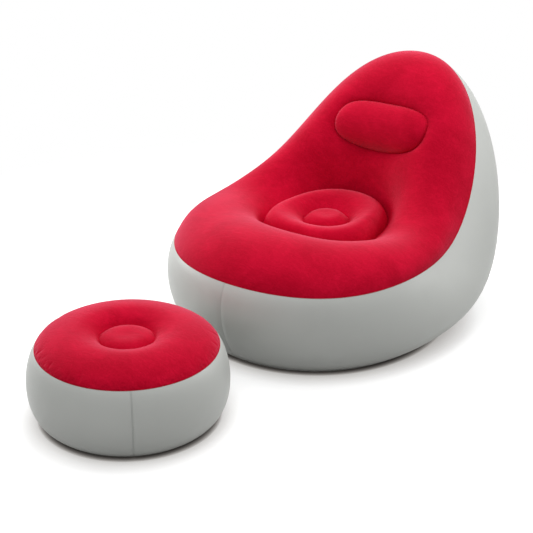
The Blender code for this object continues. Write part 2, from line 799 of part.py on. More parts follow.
def add_valve(prefix, matrix, group, cutters):
    """Air valve on a wall: welded body with a neck, a hinged cap with its plug, and a check flap"""
    frame = bpy.data.objects.new(prefix + "valve_frame", None)
    group.objects.link(frame)
    frame.matrix_world = matrix
    low = SEAT_GAP
    top = low + VALVE_FLANGE
    hinge_y = -(VALVE_FLANGE_RADIUS - CAP_HINGE_INSET)
    hinge_z = top + SEAT_GAP + CAP_HINGE_RADIUS
    body_profile = [(VALVE_BORE_RADIUS, top), (VALVE_FLANGE_RADIUS - VALVE_FLANGE / 2, top),
                    (VALVE_FLANGE_RADIUS, low + VALVE_FLANGE / 2), (VALVE_FLANGE_RADIUS, low),
                    (VALVE_NECK_RADIUS, low), (VALVE_NECK_RADIUS, -VALVE_NECK_DEPTH),
                    (VALVE_BORE_RADIUS, -VALVE_NECK_DEPTH)]
    body = add_turned(prefix + "valve_body", body_profile, VALVE_STEPS, group, VALVE, True)
    body.parent = frame
    cheek_height = 2 * CAP_HINGE_RADIUS + SEAT_GAP
    for side in (-1, 1):
        middle = side * (CAP_HINGE_HALF_LENGTH + SEAT_GAP + CHEEK_WIDTH / 2)
        cheek = bar(prefix + "hinge_cheek_" + ("right" if side > 0 else "left"),
                    (CHEEK_WIDTH, 2 * CAP_HINGE_RADIUS, cheek_height + VALVE_FLANGE / 2),
                    (middle, hinge_y, top + (cheek_height - VALVE_FLANGE / 2) / 2), cutters)
        cheek.parent = frame
        join_with(body, cheek)

    plug = VALVE_BORE_RADIUS - SEAT_GAP
    rise = top - hinge_z + SEAT_GAP
    cap_profile = [(0.0, rise + CAP_THICKNESS),
                   (CAP_RADIUS - CAP_THICKNESS / 2, rise + CAP_THICKNESS),
                   (CAP_RADIUS, rise + CAP_THICKNESS / 2), (CAP_RADIUS, rise), (plug, rise),
                   (plug - CAP_PLUG_TAPER, rise - CAP_PLUG_DEPTH), (0.0, rise - CAP_PLUG_DEPTH)]
    cap = add_turned(prefix + "valve_cap", cap_profile, VALVE_STEPS, group, VALVE)
    cap.parent = frame
    cap.location = (0.0, 0.0, hinge_z)
    tab_reach = -hinge_y - CAP_RADIUS + CAP_TAB_REACH
    tab = bar(prefix + "cap_tab", (2 * CAP_HINGE_HALF_LENGTH, tab_reach, CAP_THICKNESS),
              (0.0, hinge_y + tab_reach / 2, rise + CAP_THICKNESS / 2), cutters)
    tab.parent = frame
    tab.location = (0.0, 0.0, hinge_z)
    join_with(cap, tab)
    bpy.ops.mesh.primitive_cylinder_add(vertices=BARREL_STEPS, radius=CAP_HINGE_RADIUS,
                                        depth=2 * CAP_HINGE_HALF_LENGTH)
    barrel = as_guide(prefix + "cap_barrel", cutters)
    barrel.data.transform(Matrix.Rotation(math.pi / 2, 4, "Y"))
    barrel.parent = frame
    barrel.location = (0.0, hinge_y, hinge_z)
    join_with(cap, barrel)

    flap_top = -VALVE_NECK_DEPTH - SEAT_GAP
    flap_profile = [(0.0, flap_top), (FLAP_RADIUS, flap_top), (FLAP_RADIUS, flap_top - FLAP_THICKNESS),
                    (0.0, flap_top - FLAP_THICKNESS)]
    flap = add_turned(prefix + "valve_flap", flap_profile, VALVE_STEPS, group, INNER)
    flap.parent = frame


def stool_profile(start, end, start_slope, start_reach, end_slope, end_reach, rows, trims):
    """Radius and height along a cubic profile of the footstool, in equal steps between the trims"""
    def place(point):
        return lambda angle: point[0] * outward(angle) + np.array([0.0, 0.0, point[1]])
    sheet = Sheet(place(start), place(end), steady(start_slope), steady(start_reach),
                  steady(end_slope), steady(end_reach), trims)
    points = sheet.point(np.zeros(rows + 1), np.linspace(0, 1, rows + 1))
    return [(abs(p[1]), p[2]) for p in points]


def add_stool_bead(name, ring, weld, group, frame, look):
    """Level weld bead of the footstool, on a ring given by its radius and height"""
    radius, height = ring
    bpy.ops.mesh.primitive_torus_add(major_segments=STOOL_STEPS, minor_segments=STOOL_BEAD_SIDES,
                                     major_radius=radius, minor_radius=weld)
    bead = moved_to(group, name)
    add_material(bead, look)
    bead.data.shade_smooth()
    bead.parent = frame
    bead.location = (0.0, 0.0, height)


def add_footstool(group, cutters):
    """The footstool in its own frame, turned so that its upright weld lies on the frame's X"""
    frame = bpy.data.objects.new("footstool_frame", None)
    group.objects.link(frame)
    frame.location = (STOOL_ASIDE, -STOOL_AHEAD, 0.0)
    frame.rotation_euler = (0.0, 0.0, STOOL_SEAM_TURN - math.pi / 2)
    floor_height = WELD_RADIUS + SEAT_GAP
    rim = (STOOL_RIM_RADIUS, STOOL_RIM_HEIGHT)
    crease = (STOOL_BUTTON_RADIUS, STOOL_BUTTON_HEIGHT)
    floor = (STOOL_FLOOR_RADIUS, floor_height)
    middle_height = crown(STOOL_BUTTON_HEIGHT, STOOL_BUTTON_REACH, STOOL_BUTTON_SLOPE)

    top_line = stool_profile(crease, rim, STOOL_INNER_SLOPE, STOOL_INNER_REACH, STOOL_RIM_SLOPE,
                             STOOL_RIM_REACH, STOOL_TOP_ROWS, (CREASE_TRIM, TRIM))
    top = add_turned("footstool_top_skin", top_line, STOOL_STEPS, group, VELOUR)
    thicken(top, VELOUR_FILM, -1.0)

    dome_line = stool_profile((0.0, middle_height), crease, 0, STOOL_BUTTON_REACH,
                              180 - STOOL_BUTTON_SLOPE, STOOL_BUTTON_REACH, BUTTON_ROWS,
                              (0.0, CREASE_TRIM))
    dome = add_turned("footstool_button_skin", dome_line, STOOL_STEPS, group, VELOUR)
    thicken(dome, VELOUR_FILM, -1.0)

    wall_line = stool_profile(rim, floor, STOOL_WALL_RIM_SLOPE, STOOL_WALL_RIM_REACH,
                              STOOL_WALL_FLOOR_SLOPE, STOOL_WALL_FLOOR_REACH, STOOL_WALL_ROWS,
                              (TRIM, TRIM))
    half_gap = (SEAM_HALF_WIDTH + SEAT_GAP) / STOOL_FLOOR_RADIUS
    skin = add_turned("footstool_wall_skin", wall_line, STOOL_STEPS, group, WALL)
    skin.modifiers["turn"].angle = 2 * math.pi - 2 * half_gap
    skin.modifiers["turn"].use_merge_vertices = False
    skin.rotation_euler = (0.0, 0.0, half_gap)
    thicken(skin, WALL_FILM, -1.0)

    half_seam = SEAM_HALF_WIDTH / STOOL_RIM_RADIUS
    proud_line = [(radius + SEAM_PROUD, height) for radius, height in wall_line]
    seam = add_turned("footstool_wall_weld", proud_line, 2, group, WALL)
    seam.modifiers["turn"].angle = 2 * half_seam
    seam.modifiers["turn"].use_merge_vertices = False
    seam.rotation_euler = (0.0, 0.0, -half_seam)
    thicken(seam, WALL_FILM + 2 * SEAM_PROUD, -1.0)

    bpy.ops.mesh.primitive_circle_add(vertices=STOOL_STEPS, radius=STOOL_FLOOR_RADIUS - TRIM,
                                      fill_type="NGON")
    sheet = moved_to(group, "footstool_floor_skin")
    add_material(sheet, WALL)
    thicken(sheet, WALL_FILM, 1.0)

    add_stool_bead("footstool_rim_weld", rim, WELD_RADIUS, group, frame, VELOUR_WELD)
    add_stool_bead("footstool_floor_weld", floor, WELD_RADIUS, group, frame, WALL_WELD)
    add_stool_bead("footstool_crease_weld", crease, CREASE_WELD_RADIUS, group, frame, VELOUR_WELD)

    tie_ring = round_ring(STOOL_BUTTON_RADIUS, STOOL_BUTTON_HEIGHT, 0.0)
    tie = add_tie_wall("footstool_tie_wall", tie_ring, turn_angles(STOOL_STEPS) + np.pi / 2, group)
    for piece in (top, dome, skin, seam, sheet, tie):
        piece.parent = frame

    step = (2 * math.pi - 2 * half_gap) / STOOL_STEPS
    facet = int((STOOL_VALVE_TURN - STOOL_SEAM_TURN - half_gap) / step)
    turn = half_gap + (facet + 0.5) * step
    heights = [(wall_line[k][1] + wall_line[k + 1][1]) / 2 for k in range(STOOL_WALL_ROWS)]
    row = min(range(STOOL_WALL_ROWS), key=lambda k: abs(heights[k] - STOOL_VALVE_HEIGHT))
    radius = (wall_line[row][0] + wall_line[row + 1][0]) / 2 * math.cos(step / 2)
    slope_r = (wall_line[row + 1][0] - wall_line[row][0]) * math.cos(step / 2)
    slope_z = wall_line[row + 1][1] - wall_line[row][1]
    cosine = math.cos(turn)
    sine = math.sin(turn)
    normal = Vector((-slope_z * cosine, -slope_z * sine, slope_r)).normalized()
    middle = Vector((radius * cosine, radius * sine, heights[row]))
    place = Matrix.Translation(frame.location) @ frame.rotation_euler.to_matrix().to_4x4()
    matrix = place @ seat_matrix(middle, normal)
    cut_neck_hole(skin, matrix, cutters)
    add_valve("footstool_", matrix, group, cutters)


def main():
    clear_scene()
    group = new_collection("inflatable_chair")
    cutters = new_collection("cutters")
    angles = chair_angles()
    add_bolster(group)
    add_ring_skin("seat_pad_skin", pad, PAD_ROWS, group)
    add_dome_skin("seat_button_skin", button, BUTTON_ROWS, group)
    add_pillow(group)
    seat = add_walls(group, cutters)
    add_seam("front_wall_weld", True, group)
    add_seam("rear_wall_weld", False, group)
    floor = floor_ring(angles)
    add_floor("floor_skin", floor - TRIM * outward(angles), group)
    add_bead("rim_weld", rim_ring(angles), WELD_RADIUS, WELD_FINENESS, group, VELOUR_WELD)
    add_bead("floor_weld", floor, WELD_RADIUS, WELD_FINENESS, group, WALL_WELD)
    creases = (("pad", pad_ring(angles)), ("button", button_ring(angles)), ("pillow", crease_points()))
    for name, line in creases:
        add_bead(name + "_crease_weld", line, CREASE_WELD_RADIUS, CREASE_FINENESS, group, VELOUR_WELD)
    add_tie_wall("seat_tie_wall", pad_ring, angles, group)
    add_tie_wall("button_tie_wall", button_ring, angles, group)
    add_pillow_tie(group)
    add_valve("", seat_matrix(*seat), group, cutters)
    add_footstool(group, cutters)


main()
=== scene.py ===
"""Looks of an inflatable lounge chair and its footstool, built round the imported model.

Metres, +Z up, the chair facing -Y.  Each skin is a surface on a grid of two parameters: the turn
round the seat, counted from the front towards +X, and the share of the way along its profile.
"""

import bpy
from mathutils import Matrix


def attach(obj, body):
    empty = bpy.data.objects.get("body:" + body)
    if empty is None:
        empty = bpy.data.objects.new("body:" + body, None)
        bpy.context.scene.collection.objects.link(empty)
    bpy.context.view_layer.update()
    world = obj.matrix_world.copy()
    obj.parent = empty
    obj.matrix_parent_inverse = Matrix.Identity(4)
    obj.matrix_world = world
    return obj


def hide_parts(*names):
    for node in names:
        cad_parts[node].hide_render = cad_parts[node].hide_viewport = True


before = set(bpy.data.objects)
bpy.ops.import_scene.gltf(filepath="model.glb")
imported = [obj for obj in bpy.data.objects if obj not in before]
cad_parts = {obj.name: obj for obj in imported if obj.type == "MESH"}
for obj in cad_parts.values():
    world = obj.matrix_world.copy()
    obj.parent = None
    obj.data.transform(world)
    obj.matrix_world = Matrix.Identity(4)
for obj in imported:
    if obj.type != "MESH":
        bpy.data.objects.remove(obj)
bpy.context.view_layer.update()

import math

import bmesh
import bpy
import numpy as np
from mathutils import Vector

bl_info = {
    "name": "Inflatable Chair Looks",
    "version": (1, 0, 0),
    "blender": (4, 5, 0),
    "location": "3D Viewport > Sidebar > Inflatable Chair",
    "description": "Builds the velour skins, film walls, welds, valves and stage of an inflatable chair",
    "category": "Object",
}

# Weld beads and the gaps that skins keep from them
WELD_RADIUS = 0.0010
WELD_GAP = 0.0003
CREASE_WELD_RADIUS = 0.0005
CREASE_WELD_GAP = 0.00015
TRIM = WELD_RADIUS + WELD_GAP
CREASE_TRIM = CREASE_WELD_RADIUS + CREASE_WELD_GAP

# Upright welds: half width, height above the wall, and places across with their shares of that height
SEAM_HALF_WIDTH = 0.0014
SEAM_PROUD = 0.0002
SEAM_ACROSS = np.array([-1.0, -0.85, -0.6, -0.2, 0.2, 0.6, 0.85, 1.0])
SEAM_HEIGHTS = np.array([0.2, 0.7, 1.0, 0.9, 0.9, 1.0, 0.7, 0.2])

# Valleys beside the upright welds: depth and half width
SEAM_VALLEY = (0.0020, 0.009)
STOOL_SEAM_VALLEY = (0.0008, 0.007)

# Gathers beside the welds: count, width, share of the pucker depth, reach, and seed of their draw
GATHERS = {
    "bolster at the rim": (190, 0.0035, 1.0, 0.018, 11),
    "bolster at the pad": (46, 0.0055, 1.0, 0.050, 5),
    "wall at the rim": (190, 0.0035, 0.8, 0.014, 11),
    "wall at the floor": (150, 0.0040, 0.7, 0.016, 23),
    "pad at the button": (26, 0.0045, 1.0, 0.016, 41),
    "pad at its edge": (52, 0.0050, 1.0, 0.018, 43),
    "footstool top at the rim": (96, 0.0035, 0.3, 0.014, 31),
    "footstool top at the button": (30, 0.0045, 1.0, 0.024, 47),
    "footstool wall at the rim": (96, 0.0035, 0.3, 0.012, 31),
    "footstool wall at the floor": (84, 0.0040, 0.6, 0.014, 37),
}
GATHER_RISE = 0.004

# How far single gathers stray from even: place, depth and its power, reach and width, as shares
GATHER_JITTER = 0.42
GATHER_DEPTHS = (0.15, 1.0)
GATHER_DEPTH_POWER = 1.5
GATHER_REACHES = (0.5, 1.5)
GATHER_WIDTHS = (0.7, 1.4)

# Rim over the high back: least share of gathers, cosine of their middle and its spread
HIGH_BACK = (0.25, -0.93, 0.16)

# Rim, where the velour top meets the side walls, at five even steps from front to back
RIM_RADIUS = 0.500
RIM_RADIUS_SHARES = (1.04, 0.98, 0.86, 0.98, 1.18)
RIM_FRONT_HEIGHT = 0.294
RIM_BACK_HEIGHT = 0.727
RIM_RISE_SHARES = (0.0, -0.025, 0.0, 0.38, 1.0)

# Floor outline
FLOOR_RADIUS = 0.400
FLOOR_RADIUS_SHARES = (1.12, 1.07, 0.96, 0.95, 0.99)

# Creases round the seat pad and round its button
PAD_RADIUS = 0.205
PAD_RADIUS_SHARES = (0.973, 1.036, 0.903, 1.0, 1.112)
PAD_CREASE_HEIGHT = 0.295
PAD_SETBACK = 0.009
BUTTON_RADIUS = 0.074
BUTTON_CREASE_HEIGHT = 0.315
BUTTON_SETBACK = 0.007

# Bolster: slopes in degrees and reaches where it leaves the pad crease and the rim
BOLSTER_INNER_SLOPES = (80, 80, 44, 72, 81)
BOLSTER_INNER_REACHES = (0.164, 0.124, 0.129, 0.268, 0.580)
BOLSTER_RIM_SLOPES = (103, 114, 89, 133, 107)
BOLSTER_RIM_REACHES = (0.109, 0.109, 0.069, 0.138, 0.025)

# Side walls: slopes and reaches where they leave the rim and the floor
WALL_RIM_SLOPES = (-49, -56, -55, -49, -29)
WALL_RIM_REACHES = (0.095, 0.085, 0.175, 0.240, 0.255)
WALL_FLOOR_SLOPES = (28, 26, 22, 27, 28)
WALL_FLOOR_REACHES = (0.085, 0.105, 0.150, 0.250, 0.260)

# Crowns of the seat pad and its button
PAD_INNER_SLOPE = 38
PAD_INNER_REACH = 0.039
PAD_EDGE_SLOPE = 73
PAD_EDGE_REACH = 0.116
BUTTON_SLOPE = 52
BUTTON_REACH = 0.041

# Head pillow: size, place on the back, bow and tilt, crease and valley round it, and swell
PILLOW_HALF_WIDTH = 0.182
PILLOW_HALF_HEIGHT = 0.083
PILLOW_UP_THE_BACK = 0.267
PILLOW_BOW = 0.104
PILLOW_ASIDE = 0.010
PILLOW_TILT = 0.109
PILLOW_SQUARENESS = 2.7
PILLOW_MARGIN = 0.045
COLLAR_LEAN = 1.7
PILLOW_CREASE_DEPTH = 0.0040
PILLOW_CREASE_FADE = 0.008
PILLOW_VALLEY_DEPTH = 0.0120
PILLOW_VALLEY_FADE = 0.026
PILLOW_VALLEY_REACH = 0.120
PILLOW_DEPTH = PILLOW_CREASE_DEPTH + PILLOW_VALLEY_DEPTH
PILLOW_SWELL = 0.040
PILLOW_WAVES = 40

# Footstool
STOOL_PLACE = np.array([-0.053, -0.908, 0.0])
STOOL_SEAM_TURN = math.radians(44)
STOOL_RIM_RADIUS = 0.269
STOOL_RIM_HEIGHT = 0.227
STOOL_FLOOR_RADIUS = 0.244
STOOL_BUTTON_RADIUS = 0.082
STOOL_BUTTON_HEIGHT = 0.248
STOOL_INNER_SLOPE = 62
STOOL_INNER_REACH = 0.075
STOOL_RIM_SLOPE = 105
STOOL_RIM_REACH = 0.030
STOOL_WALL_RIM_SLOPE = -49
STOOL_WALL_RIM_REACH = 0.054
STOOL_WALL_FLOOR_SLOPE = 23
STOOL_WALL_FLOOR_REACH = 0.083
STOOL_BUTTON_SLOPE = 42
STOOL_BUTTON_REACH = 0.032

# Valve seats: depth of the flap's middle below the wall, the flat, and the hole and rings round the neck
FLAP_DEPTH = 0.0167
VALVE_FLAT = 0.0230
VALVE_FLAT_FADE = 0.0300
VALVE_FLAT_LIMIT = 4 * VALVE_FLAT
NECK_HOLE_RADIUS = 0.0088
NECK_RINGS_REACH = 0.016
NECK_RINGS = 4

# Grid counts, how far grids gather at the front and back and at their ends, and the step of differences
CURVE_STEPS = 64
ROUND_STEPS = 768
GATHER_SHARE = 0.35
END_LEAN = 0.55
NUDGE = 0.004
BOLSTER_ROWS = 60
PAD_ROWS = 36
BUTTON_ROWS = 16
WALL_ROWS = 48
COLLAR_RINGS = 14
PILLOW_RINGS = 22
STOOL_STEPS = 480
STOOL_TOP_ROWS = 40
STOOL_WALL_ROWS = 36
STOOL_BUTTON_ROWS = 16
SMALL_STEPS = 384
BEAD_SIDES = 10

# Air in the ring skins: pressure, frames, and for each the spare film as a share and the cap on a move
AIR_PRESSURE = 4.0
AIR_FRAMES = 20
PAD_AIR = (0.004, 0.0015)
STOOL_AIR = (0.015, 0.0030)

# Velour: clouds, brushed nap, grain and fibres as noise scale, detail, roughness and distortion, and
# the shares and shades that they give
VELOUR_CLOUDS = (5.5, 3.0, 0.55, 1.4)
VELOUR_NAP = (17.0, 4.0, 0.62, 2.2)
VELOUR_NAP_STRETCH = (1.0, 2.6, 2.2)
VELOUR_GRAIN = (240.0, 2.0, 0.6)
VELOUR_FIBRES = (1500.0, 1.0, 0.6)
CLOUD_SHARE = 0.26
NAP_SHARE = 0.20
GRAIN_SHARE = 0.54
FIBRE_SHARE = 0.22
VELOUR_SHADE = (0.66, 0.20, 0.50)
VELOUR_LIGHT = (1.29, 2.60, 1.75)
FIBRE_TIP = (0.74, 0.014, 0.050, 1.0)
SHEEN_ROUGHNESS = 0.38
SHEEN_TINT = (1.0, 0.24, 0.35, 1.0)
# Painted shade: the velour loses its sheen where other surfaces lie within this reach, in creases and
# corners
SHEEN_PAINTED_SHADE_REACH = 0.10
SHEEN_SAMPLES = 6

# Wall film: clouds, emboss, gloss and slow waves as noise, and the two shades
WALL_CLOUDS = (3.2, 3.0, 0.5, 0.6)
WALL_EMBOSS = (620.0, 2.0, 0.5)
WALL_GLOSS = (21.0, 3.0, 0.55)
WALL_WAVES = (12.0, 2.0, 0.4)
WALL_SHADES = (0.955, 1.03)

# Welds in the wall film: grain as noise, ribs as a wave texture, and the two shades
WELD_GRAIN = (300.0, 2.0, 0.5)
WELD_RIBS = {"Scale": 210.0, "Distortion": 0.4, "Detail": 1.0}
WELD_SHADES = (0.88, 0.98)

# Plain finishes: noise of their clouds and of their grain, the two shades, gloss as a share of the
# grain and a base, the grain's emboss as distance and strength, and the specular level
PLAIN_FINISHES = {
    "pressed_velour": ((420, 2, 0.6), (420, 2, 0.6), (0.80, 1.15), (0.16, 0.60), (0.0003, 0.5), 0.03),
    "valve_plastic": ((60, 2, 0.5), (900, 3, 0.6), (0.93, 1.05), (0.18, 0.30), (0.0001, 0.5), 0.5),
    "clear_film": ((34, 3, 0.5), (34, 3, 0.5), (0.90, 1.08), (0.20, 0.16), (0.0006, 0.3), 0.5),
}

# Floor: colour to the eye and to the light it throws back, and its share that glows
FLOOR_DEPTH = 0.0006
FLOOR_LIT = (0.60, 0.60, 0.597, 1.0)
FLOOR_BOUNCE = (0.40, 0.40, 0.396, 1.0)
FLOOR_GLOW = 0.60
# Warm tint of the painted shadow on the floor
PAINTED_SHADOW_WARMTH = (1.0, 0.90, 0.82, 1.0)
FLOOR_FADE = (1.2, 1.8)
# Painted shadow on the floor: openness within a near reach and a wider one, each to its power, darkens the
# floor round the pieces
PAINTED_SHADOW_SAMPLES = 12
PAINTED_CONTACT_REACH = 0.018
PAINTED_CONTACT_POWER = 1.5
PAINTED_SHADOW_REACH = 0.07
PAINTED_SHADOW_POWER = 0.36
WHITE = (1.0, 1.0, 1.0, 1.0)
BLACK = (0.0, 0.0, 0.0, 1.0)

# Camera: place, turn and tilt in degrees, lens and sensor in millimetres, and how far it sees
CAMERA_PLACE = (2.8394, -4.0223, 2.4837)
CAMERA_AZIMUTH = 37.4287
CAMERA_TILT = 25.3568
CAMERA_LENS = 111.5125
CAMERA_SENSOR = 36.0
CAMERA_SIGHT = 200.0

# Studio lamps: name, place, width and power in watts
LAMP_TARGET = (0.0, -0.3, 0.25)
LAMPS = (
    ("overhead", (-0.3, 0.8, 3.0), 3.0, 59.5),
    ("over_front", (0.2, -1.9, 3.0), 1.8, 14.5),
    ("rear_right", (2.6, 2.2, 1.8), 1.6, 28.5),
    ("rear_left", (-2.6, 1.8, 1.8), 1.6, 26.5),
    ("left_side", (-3.2, -0.6, 1.2), 1.6, 39.0),
)


class ChairFinishes(bpy.types.PropertyGroup):
    velour: bpy.props.FloatVectorProperty(
        name="Velour", description="Colour of the flocked top", subtype="COLOR", size=3, min=0, max=1,
        default=(0.525, 0.0023, 0.0215))
    wall: bpy.props.FloatVectorProperty(
        name="Wall film", description="Colour of the smooth side walls", subtype="COLOR", size=3,
        min=0, max=1, default=(0.522, 0.535, 0.511))
    valve: bpy.props.FloatVectorProperty(
        name="Valve", description="Colour of the moulded valves", subtype="COLOR", size=3, min=0, max=1,
        default=(0.560, 0.570, 0.560))
    inner: bpy.props.FloatVectorProperty(
        name="Inner film", description="Colour of the clear inner ties", subtype="COLOR", size=3,
        min=0, max=1, default=(0.700, 0.720, 0.720))


class ChairSizes(bpy.types.PropertyGroup):
    velour_film: bpy.props.FloatProperty(
        name="Velour film", description="Thickness of the flocked film", unit="LENGTH",
        default=0.0007, min=0.0002, max=0.003, precision=4)
    wall_film: bpy.props.FloatProperty(
        name="Wall film", description="Thickness of the smooth film", unit="LENGTH",
        default=0.0005, min=0.0002, max=0.003, precision=4)
    pucker_depth: bpy.props.FloatProperty(
        name="Pucker depth", description="Depth of the gathers along the rim weld", unit="LENGTH",
        default=0.0007, min=0.0, max=0.004, precision=4)
    crease_pucker_depth: bpy.props.FloatProperty(
        name="Crease pucker depth", description="Depth of the tension lines beside the creases",
        unit="LENGTH", default=0.0006, min=0.0, max=0.004, precision=4)
    pile: bpy.props.FloatProperty(
        name="Pile", description="Height of the flocked pile", unit="LENGTH",
        default=0.0005, min=0.0, max=0.003, precision=4)


class ChairStage(bpy.types.PropertyGroup):
    sky_light: bpy.props.FloatProperty(
        name="Room light", description="Strength of the even light from all round",
        default=0.52, min=0.0, max=2.0)
    lamp_share: bpy.props.FloatProperty(
        name="Lamps", description="Share of the studio lamps' full power",
        default=1.0, min=0.0, max=4.0)
    floor_reach: bpy.props.FloatProperty(
        name="Floor reach", description="Half width of the floor", unit="LENGTH",
        default=16.0, min=2.0, max=100.0)


class Signal:
    """A socket of a finish's nodes; Python arithmetic on it adds Math nodes."""

    def __init__(self, finish, socket):
        self.finish = finish
        self.socket = socket

    def math(self, operation, *values):
        return self.finish.node("ShaderNodeMath", {"operation": operation}, dict(enumerate(values)))

    def __add__(self, other):
        return self.math("ADD", self, other)

    def __mul__(self, other):
        return self.math("MULTIPLY", self, other)

    def __pow__(self, power):
        return self.math("POWER", self, power)

    __radd__ = __add__
    __rmul__ = __mul__

    def or_larger(self, other):
        return self.math("MAXIMUM", self, other)

    def step(self, low, high):
        """Smooth climb from 0 at low to 1 at high"""
        values = {"Value": self, "From Min": low, "From Max": high, "To Min": 0.0, "To Max": 1.0}
        return self.finish.node("ShaderNodeMapRange", {"interpolation_type": "SMOOTHSTEP"}, values)


class Finish:
    """The nodes of a material or of the world under construction."""

    def __init__(self, owner):
        self.owner = owner
        owner.use_nodes = True
        self.tree = owner.node_tree
        self.tree.nodes.clear()

    def node(self, kind, settings=None, values=None, output=0):
        """Add a node of this kind, make its settings, fill its sockets, and give one of its outputs"""
        made = self.tree.nodes.new(kind)
        for key, value in (settings or {}).items():
            setattr(made, key, value)
        for key, value in (values or {}).items():
            socket = made.inputs[key]
            if isinstance(value, Signal):
                self.tree.links.new(value.socket, socket)
            else:
                socket.default_value = value
        return Signal(self, made.outputs[output]) if len(made.outputs) else None

    def place(self):
        return self.node("ShaderNodeTexCoord", output="Object")

    def noise(self, place, scale, detail, roughness, distortion=0.0):
        values = {"Vector": place, "Scale": scale, "Detail": detail, "Roughness": roughness,
                  "Distortion": distortion}
        return self.node("ShaderNodeTexNoise", {"noise_dimensions": "3D"}, values)

    def stretched(self, place, scales):
        return self.node("ShaderNodeMapping", {"vector_type": "POINT"}, {"Vector": place, "Scale": scales})

    def openness(self, reach, samples):
        """1 where nothing lies within reach of the surface, less in creases and corners"""
        return self.node("ShaderNodeAmbientOcclusion", {"samples": samples}, {"Distance": reach}, "AO")

    def seen(self):
        """1 on lines of sight, straight, by reflection or through glass, and 0 on light that bounces"""
        eye, gloss, glass = [self.node("ShaderNodeLightPath", output=f"Is {kind} Ray")
                             for kind in ("Camera", "Glossy", "Transmission")]
        return eye.or_larger(gloss.or_larger(glass))

    def mix(self, factor, first, second):
        """Colour between two colours"""
        settings = {"data_type": "RGBA", "clamp_factor": True}
        return self.node("ShaderNodeMix", settings, {0: factor, 6: first, 7: second}, 2)

    def bump(self, height, distance, strength, normal=None):
        values = {"Height": height, "Distance": distance, "Strength": strength}
        if normal is not None:
            values["Normal"] = normal
        return self.node("ShaderNodeBump", None, values)

    def shader(self, **values):
        """Principled shader; an underscore in a name stands for a space"""
        named = {key.replace("_", " "): value for key, value in values.items()}
        return self.node("ShaderNodeBsdfPrincipled", {"subsurface_method": "RANDOM_WALK"}, named)

    def blend(self, factor, first, second):
        """Shader between two shaders"""
        return self.node("ShaderNodeMixShader", None, {0: factor, 1: first, 2: second})

    def end(self, surface, output="ShaderNodeOutputMaterial"):
        self.node(output, None, {"Surface": surface})
        return self.owner


def rgba(colour, brighter=1.0):
    """Opaque colour, brighter by one share or by a share for each channel"""
    return (*[min(1.0, float(channel)) for channel in np.multiply(colour, brighter)], 1.0)


def velour_finish(name, colour, pile):
    """Flocked pile: clouds, nap and grain shade it, fibre tips lighten it, and painted shade takes its
    sheen away in creases and corners
    """
    finish = Finish(bpy.data.materials.new(name))
    place = finish.place()
    clouds = finish.noise(place, *VELOUR_CLOUDS).step(0.30, 0.70)
    nap = finish.noise(finish.stretched(place, VELOUR_NAP_STRETCH), *VELOUR_NAP).step(0.38, 0.74)
    grain = finish.noise(place, *VELOUR_GRAIN)
    fibres = finish.noise(place, *VELOUR_FIBRES)
    light = clouds * CLOUD_SHARE + nap * NAP_SHARE + grain * GRAIN_SHARE
    tone = finish.mix(light, rgba(colour, VELOUR_SHADE), rgba(colour, VELOUR_LIGHT))
    tipped = finish.mix(fibres.step(0.55, 0.80) * FIBRE_SHARE, tone, FIBRE_TIP)
    brushed = finish.bump(nap, 0.0008, 0.30)
    mottled = finish.bump(grain, 1.2 * pile, 0.55, brushed)
    piled = finish.bump(fibres, 0.5 * pile, 0.6, mottled)
    look = {"Base_Color": tipped, "Roughness": 0.92, "Normal": piled, "Specular_IOR_Level": 0.0}
    sheen = {"Sheen_Weight": 1.0, "Sheen_Roughness": SHEEN_ROUGHNESS, "Sheen_Tint": SHEEN_TINT}
    # Painted shade: where the openness is low, in creases and corners, the shader without sheen is used
    sheen_outside_painted_shade = finish.openness(SHEEN_PAINTED_SHADE_REACH, SHEEN_SAMPLES).step(0.45, 0.95)
    return finish.end(finish.blend(sheen_outside_painted_shade, finish.shader(**look), finish.shader(**look, **sheen)))


def wall_finish(name, colour):
    """Smooth satin film: faint clouding, a very fine emboss and slightly uneven gloss"""
    finish = Finish(bpy.data.materials.new(name))
    place = finish.place()
    clouds = finish.noise(place, *WALL_CLOUDS).step(0.25, 0.75)
    emboss = finish.noise(place, *WALL_EMBOSS)
    gloss = finish.noise(place, *WALL_GLOSS)
    tone = finish.mix(clouds, *[rgba(colour, shade) for shade in WALL_SHADES])
    wave = finish.bump(finish.noise(place, *WALL_WAVES), 0.0012, 0.16)
    return finish.end(finish.shader(
        Base_Color=tone, Roughness=gloss * 0.14 + 0.37, Normal=finish.bump(emboss, 0.00012, 0.5, wave),
        Specular_IOR_Level=0.42))


def wall_weld_finish(name, colour):
    """Film pressed by the weld bar: a shade darker, with close ribs across it"""
    finish = Finish(bpy.data.materials.new(name))
    place = finish.place()
    grain = finish.noise(place, *WELD_GRAIN)
    bands = {"wave_type": "BANDS", "bands_direction": "Z"}
    ribs = finish.node("ShaderNodeTexWave", bands, {"Vector": place, **WELD_RIBS})
    tone = finish.mix(grain * 0.5 + ribs * 0.3, *[rgba(colour, shade) for shade in WELD_SHADES])
    return finish.end(finish.shader(
        Base_Color=tone, Roughness=grain * 0.12 + 0.34, Normal=finish.bump(ribs, 0.00025, 0.6),
        Specular_IOR_Level=0.5))


def plain_finish(name, colour):
    """Finish from the table: a colour clouded between two shades, and a grain in its gloss and relief"""
    cloud_noise, grain_noise, shades, gloss, emboss, specular = PLAIN_FINISHES[name]
    finish = Finish(bpy.data.materials.new(name))
    place = finish.place()
    clouds = finish.noise(place, *cloud_noise)
    grain = finish.noise(place, *grain_noise)
    tone = finish.mix(clouds, *[rgba(colour, shade) for shade in shades])
    return finish.end(finish.shader(
        Base_Color=tone, Roughness=grain * gloss[0] + gloss[1], Normal=finish.bump(grain, *emboss),
        Specular_IOR_Level=specular))


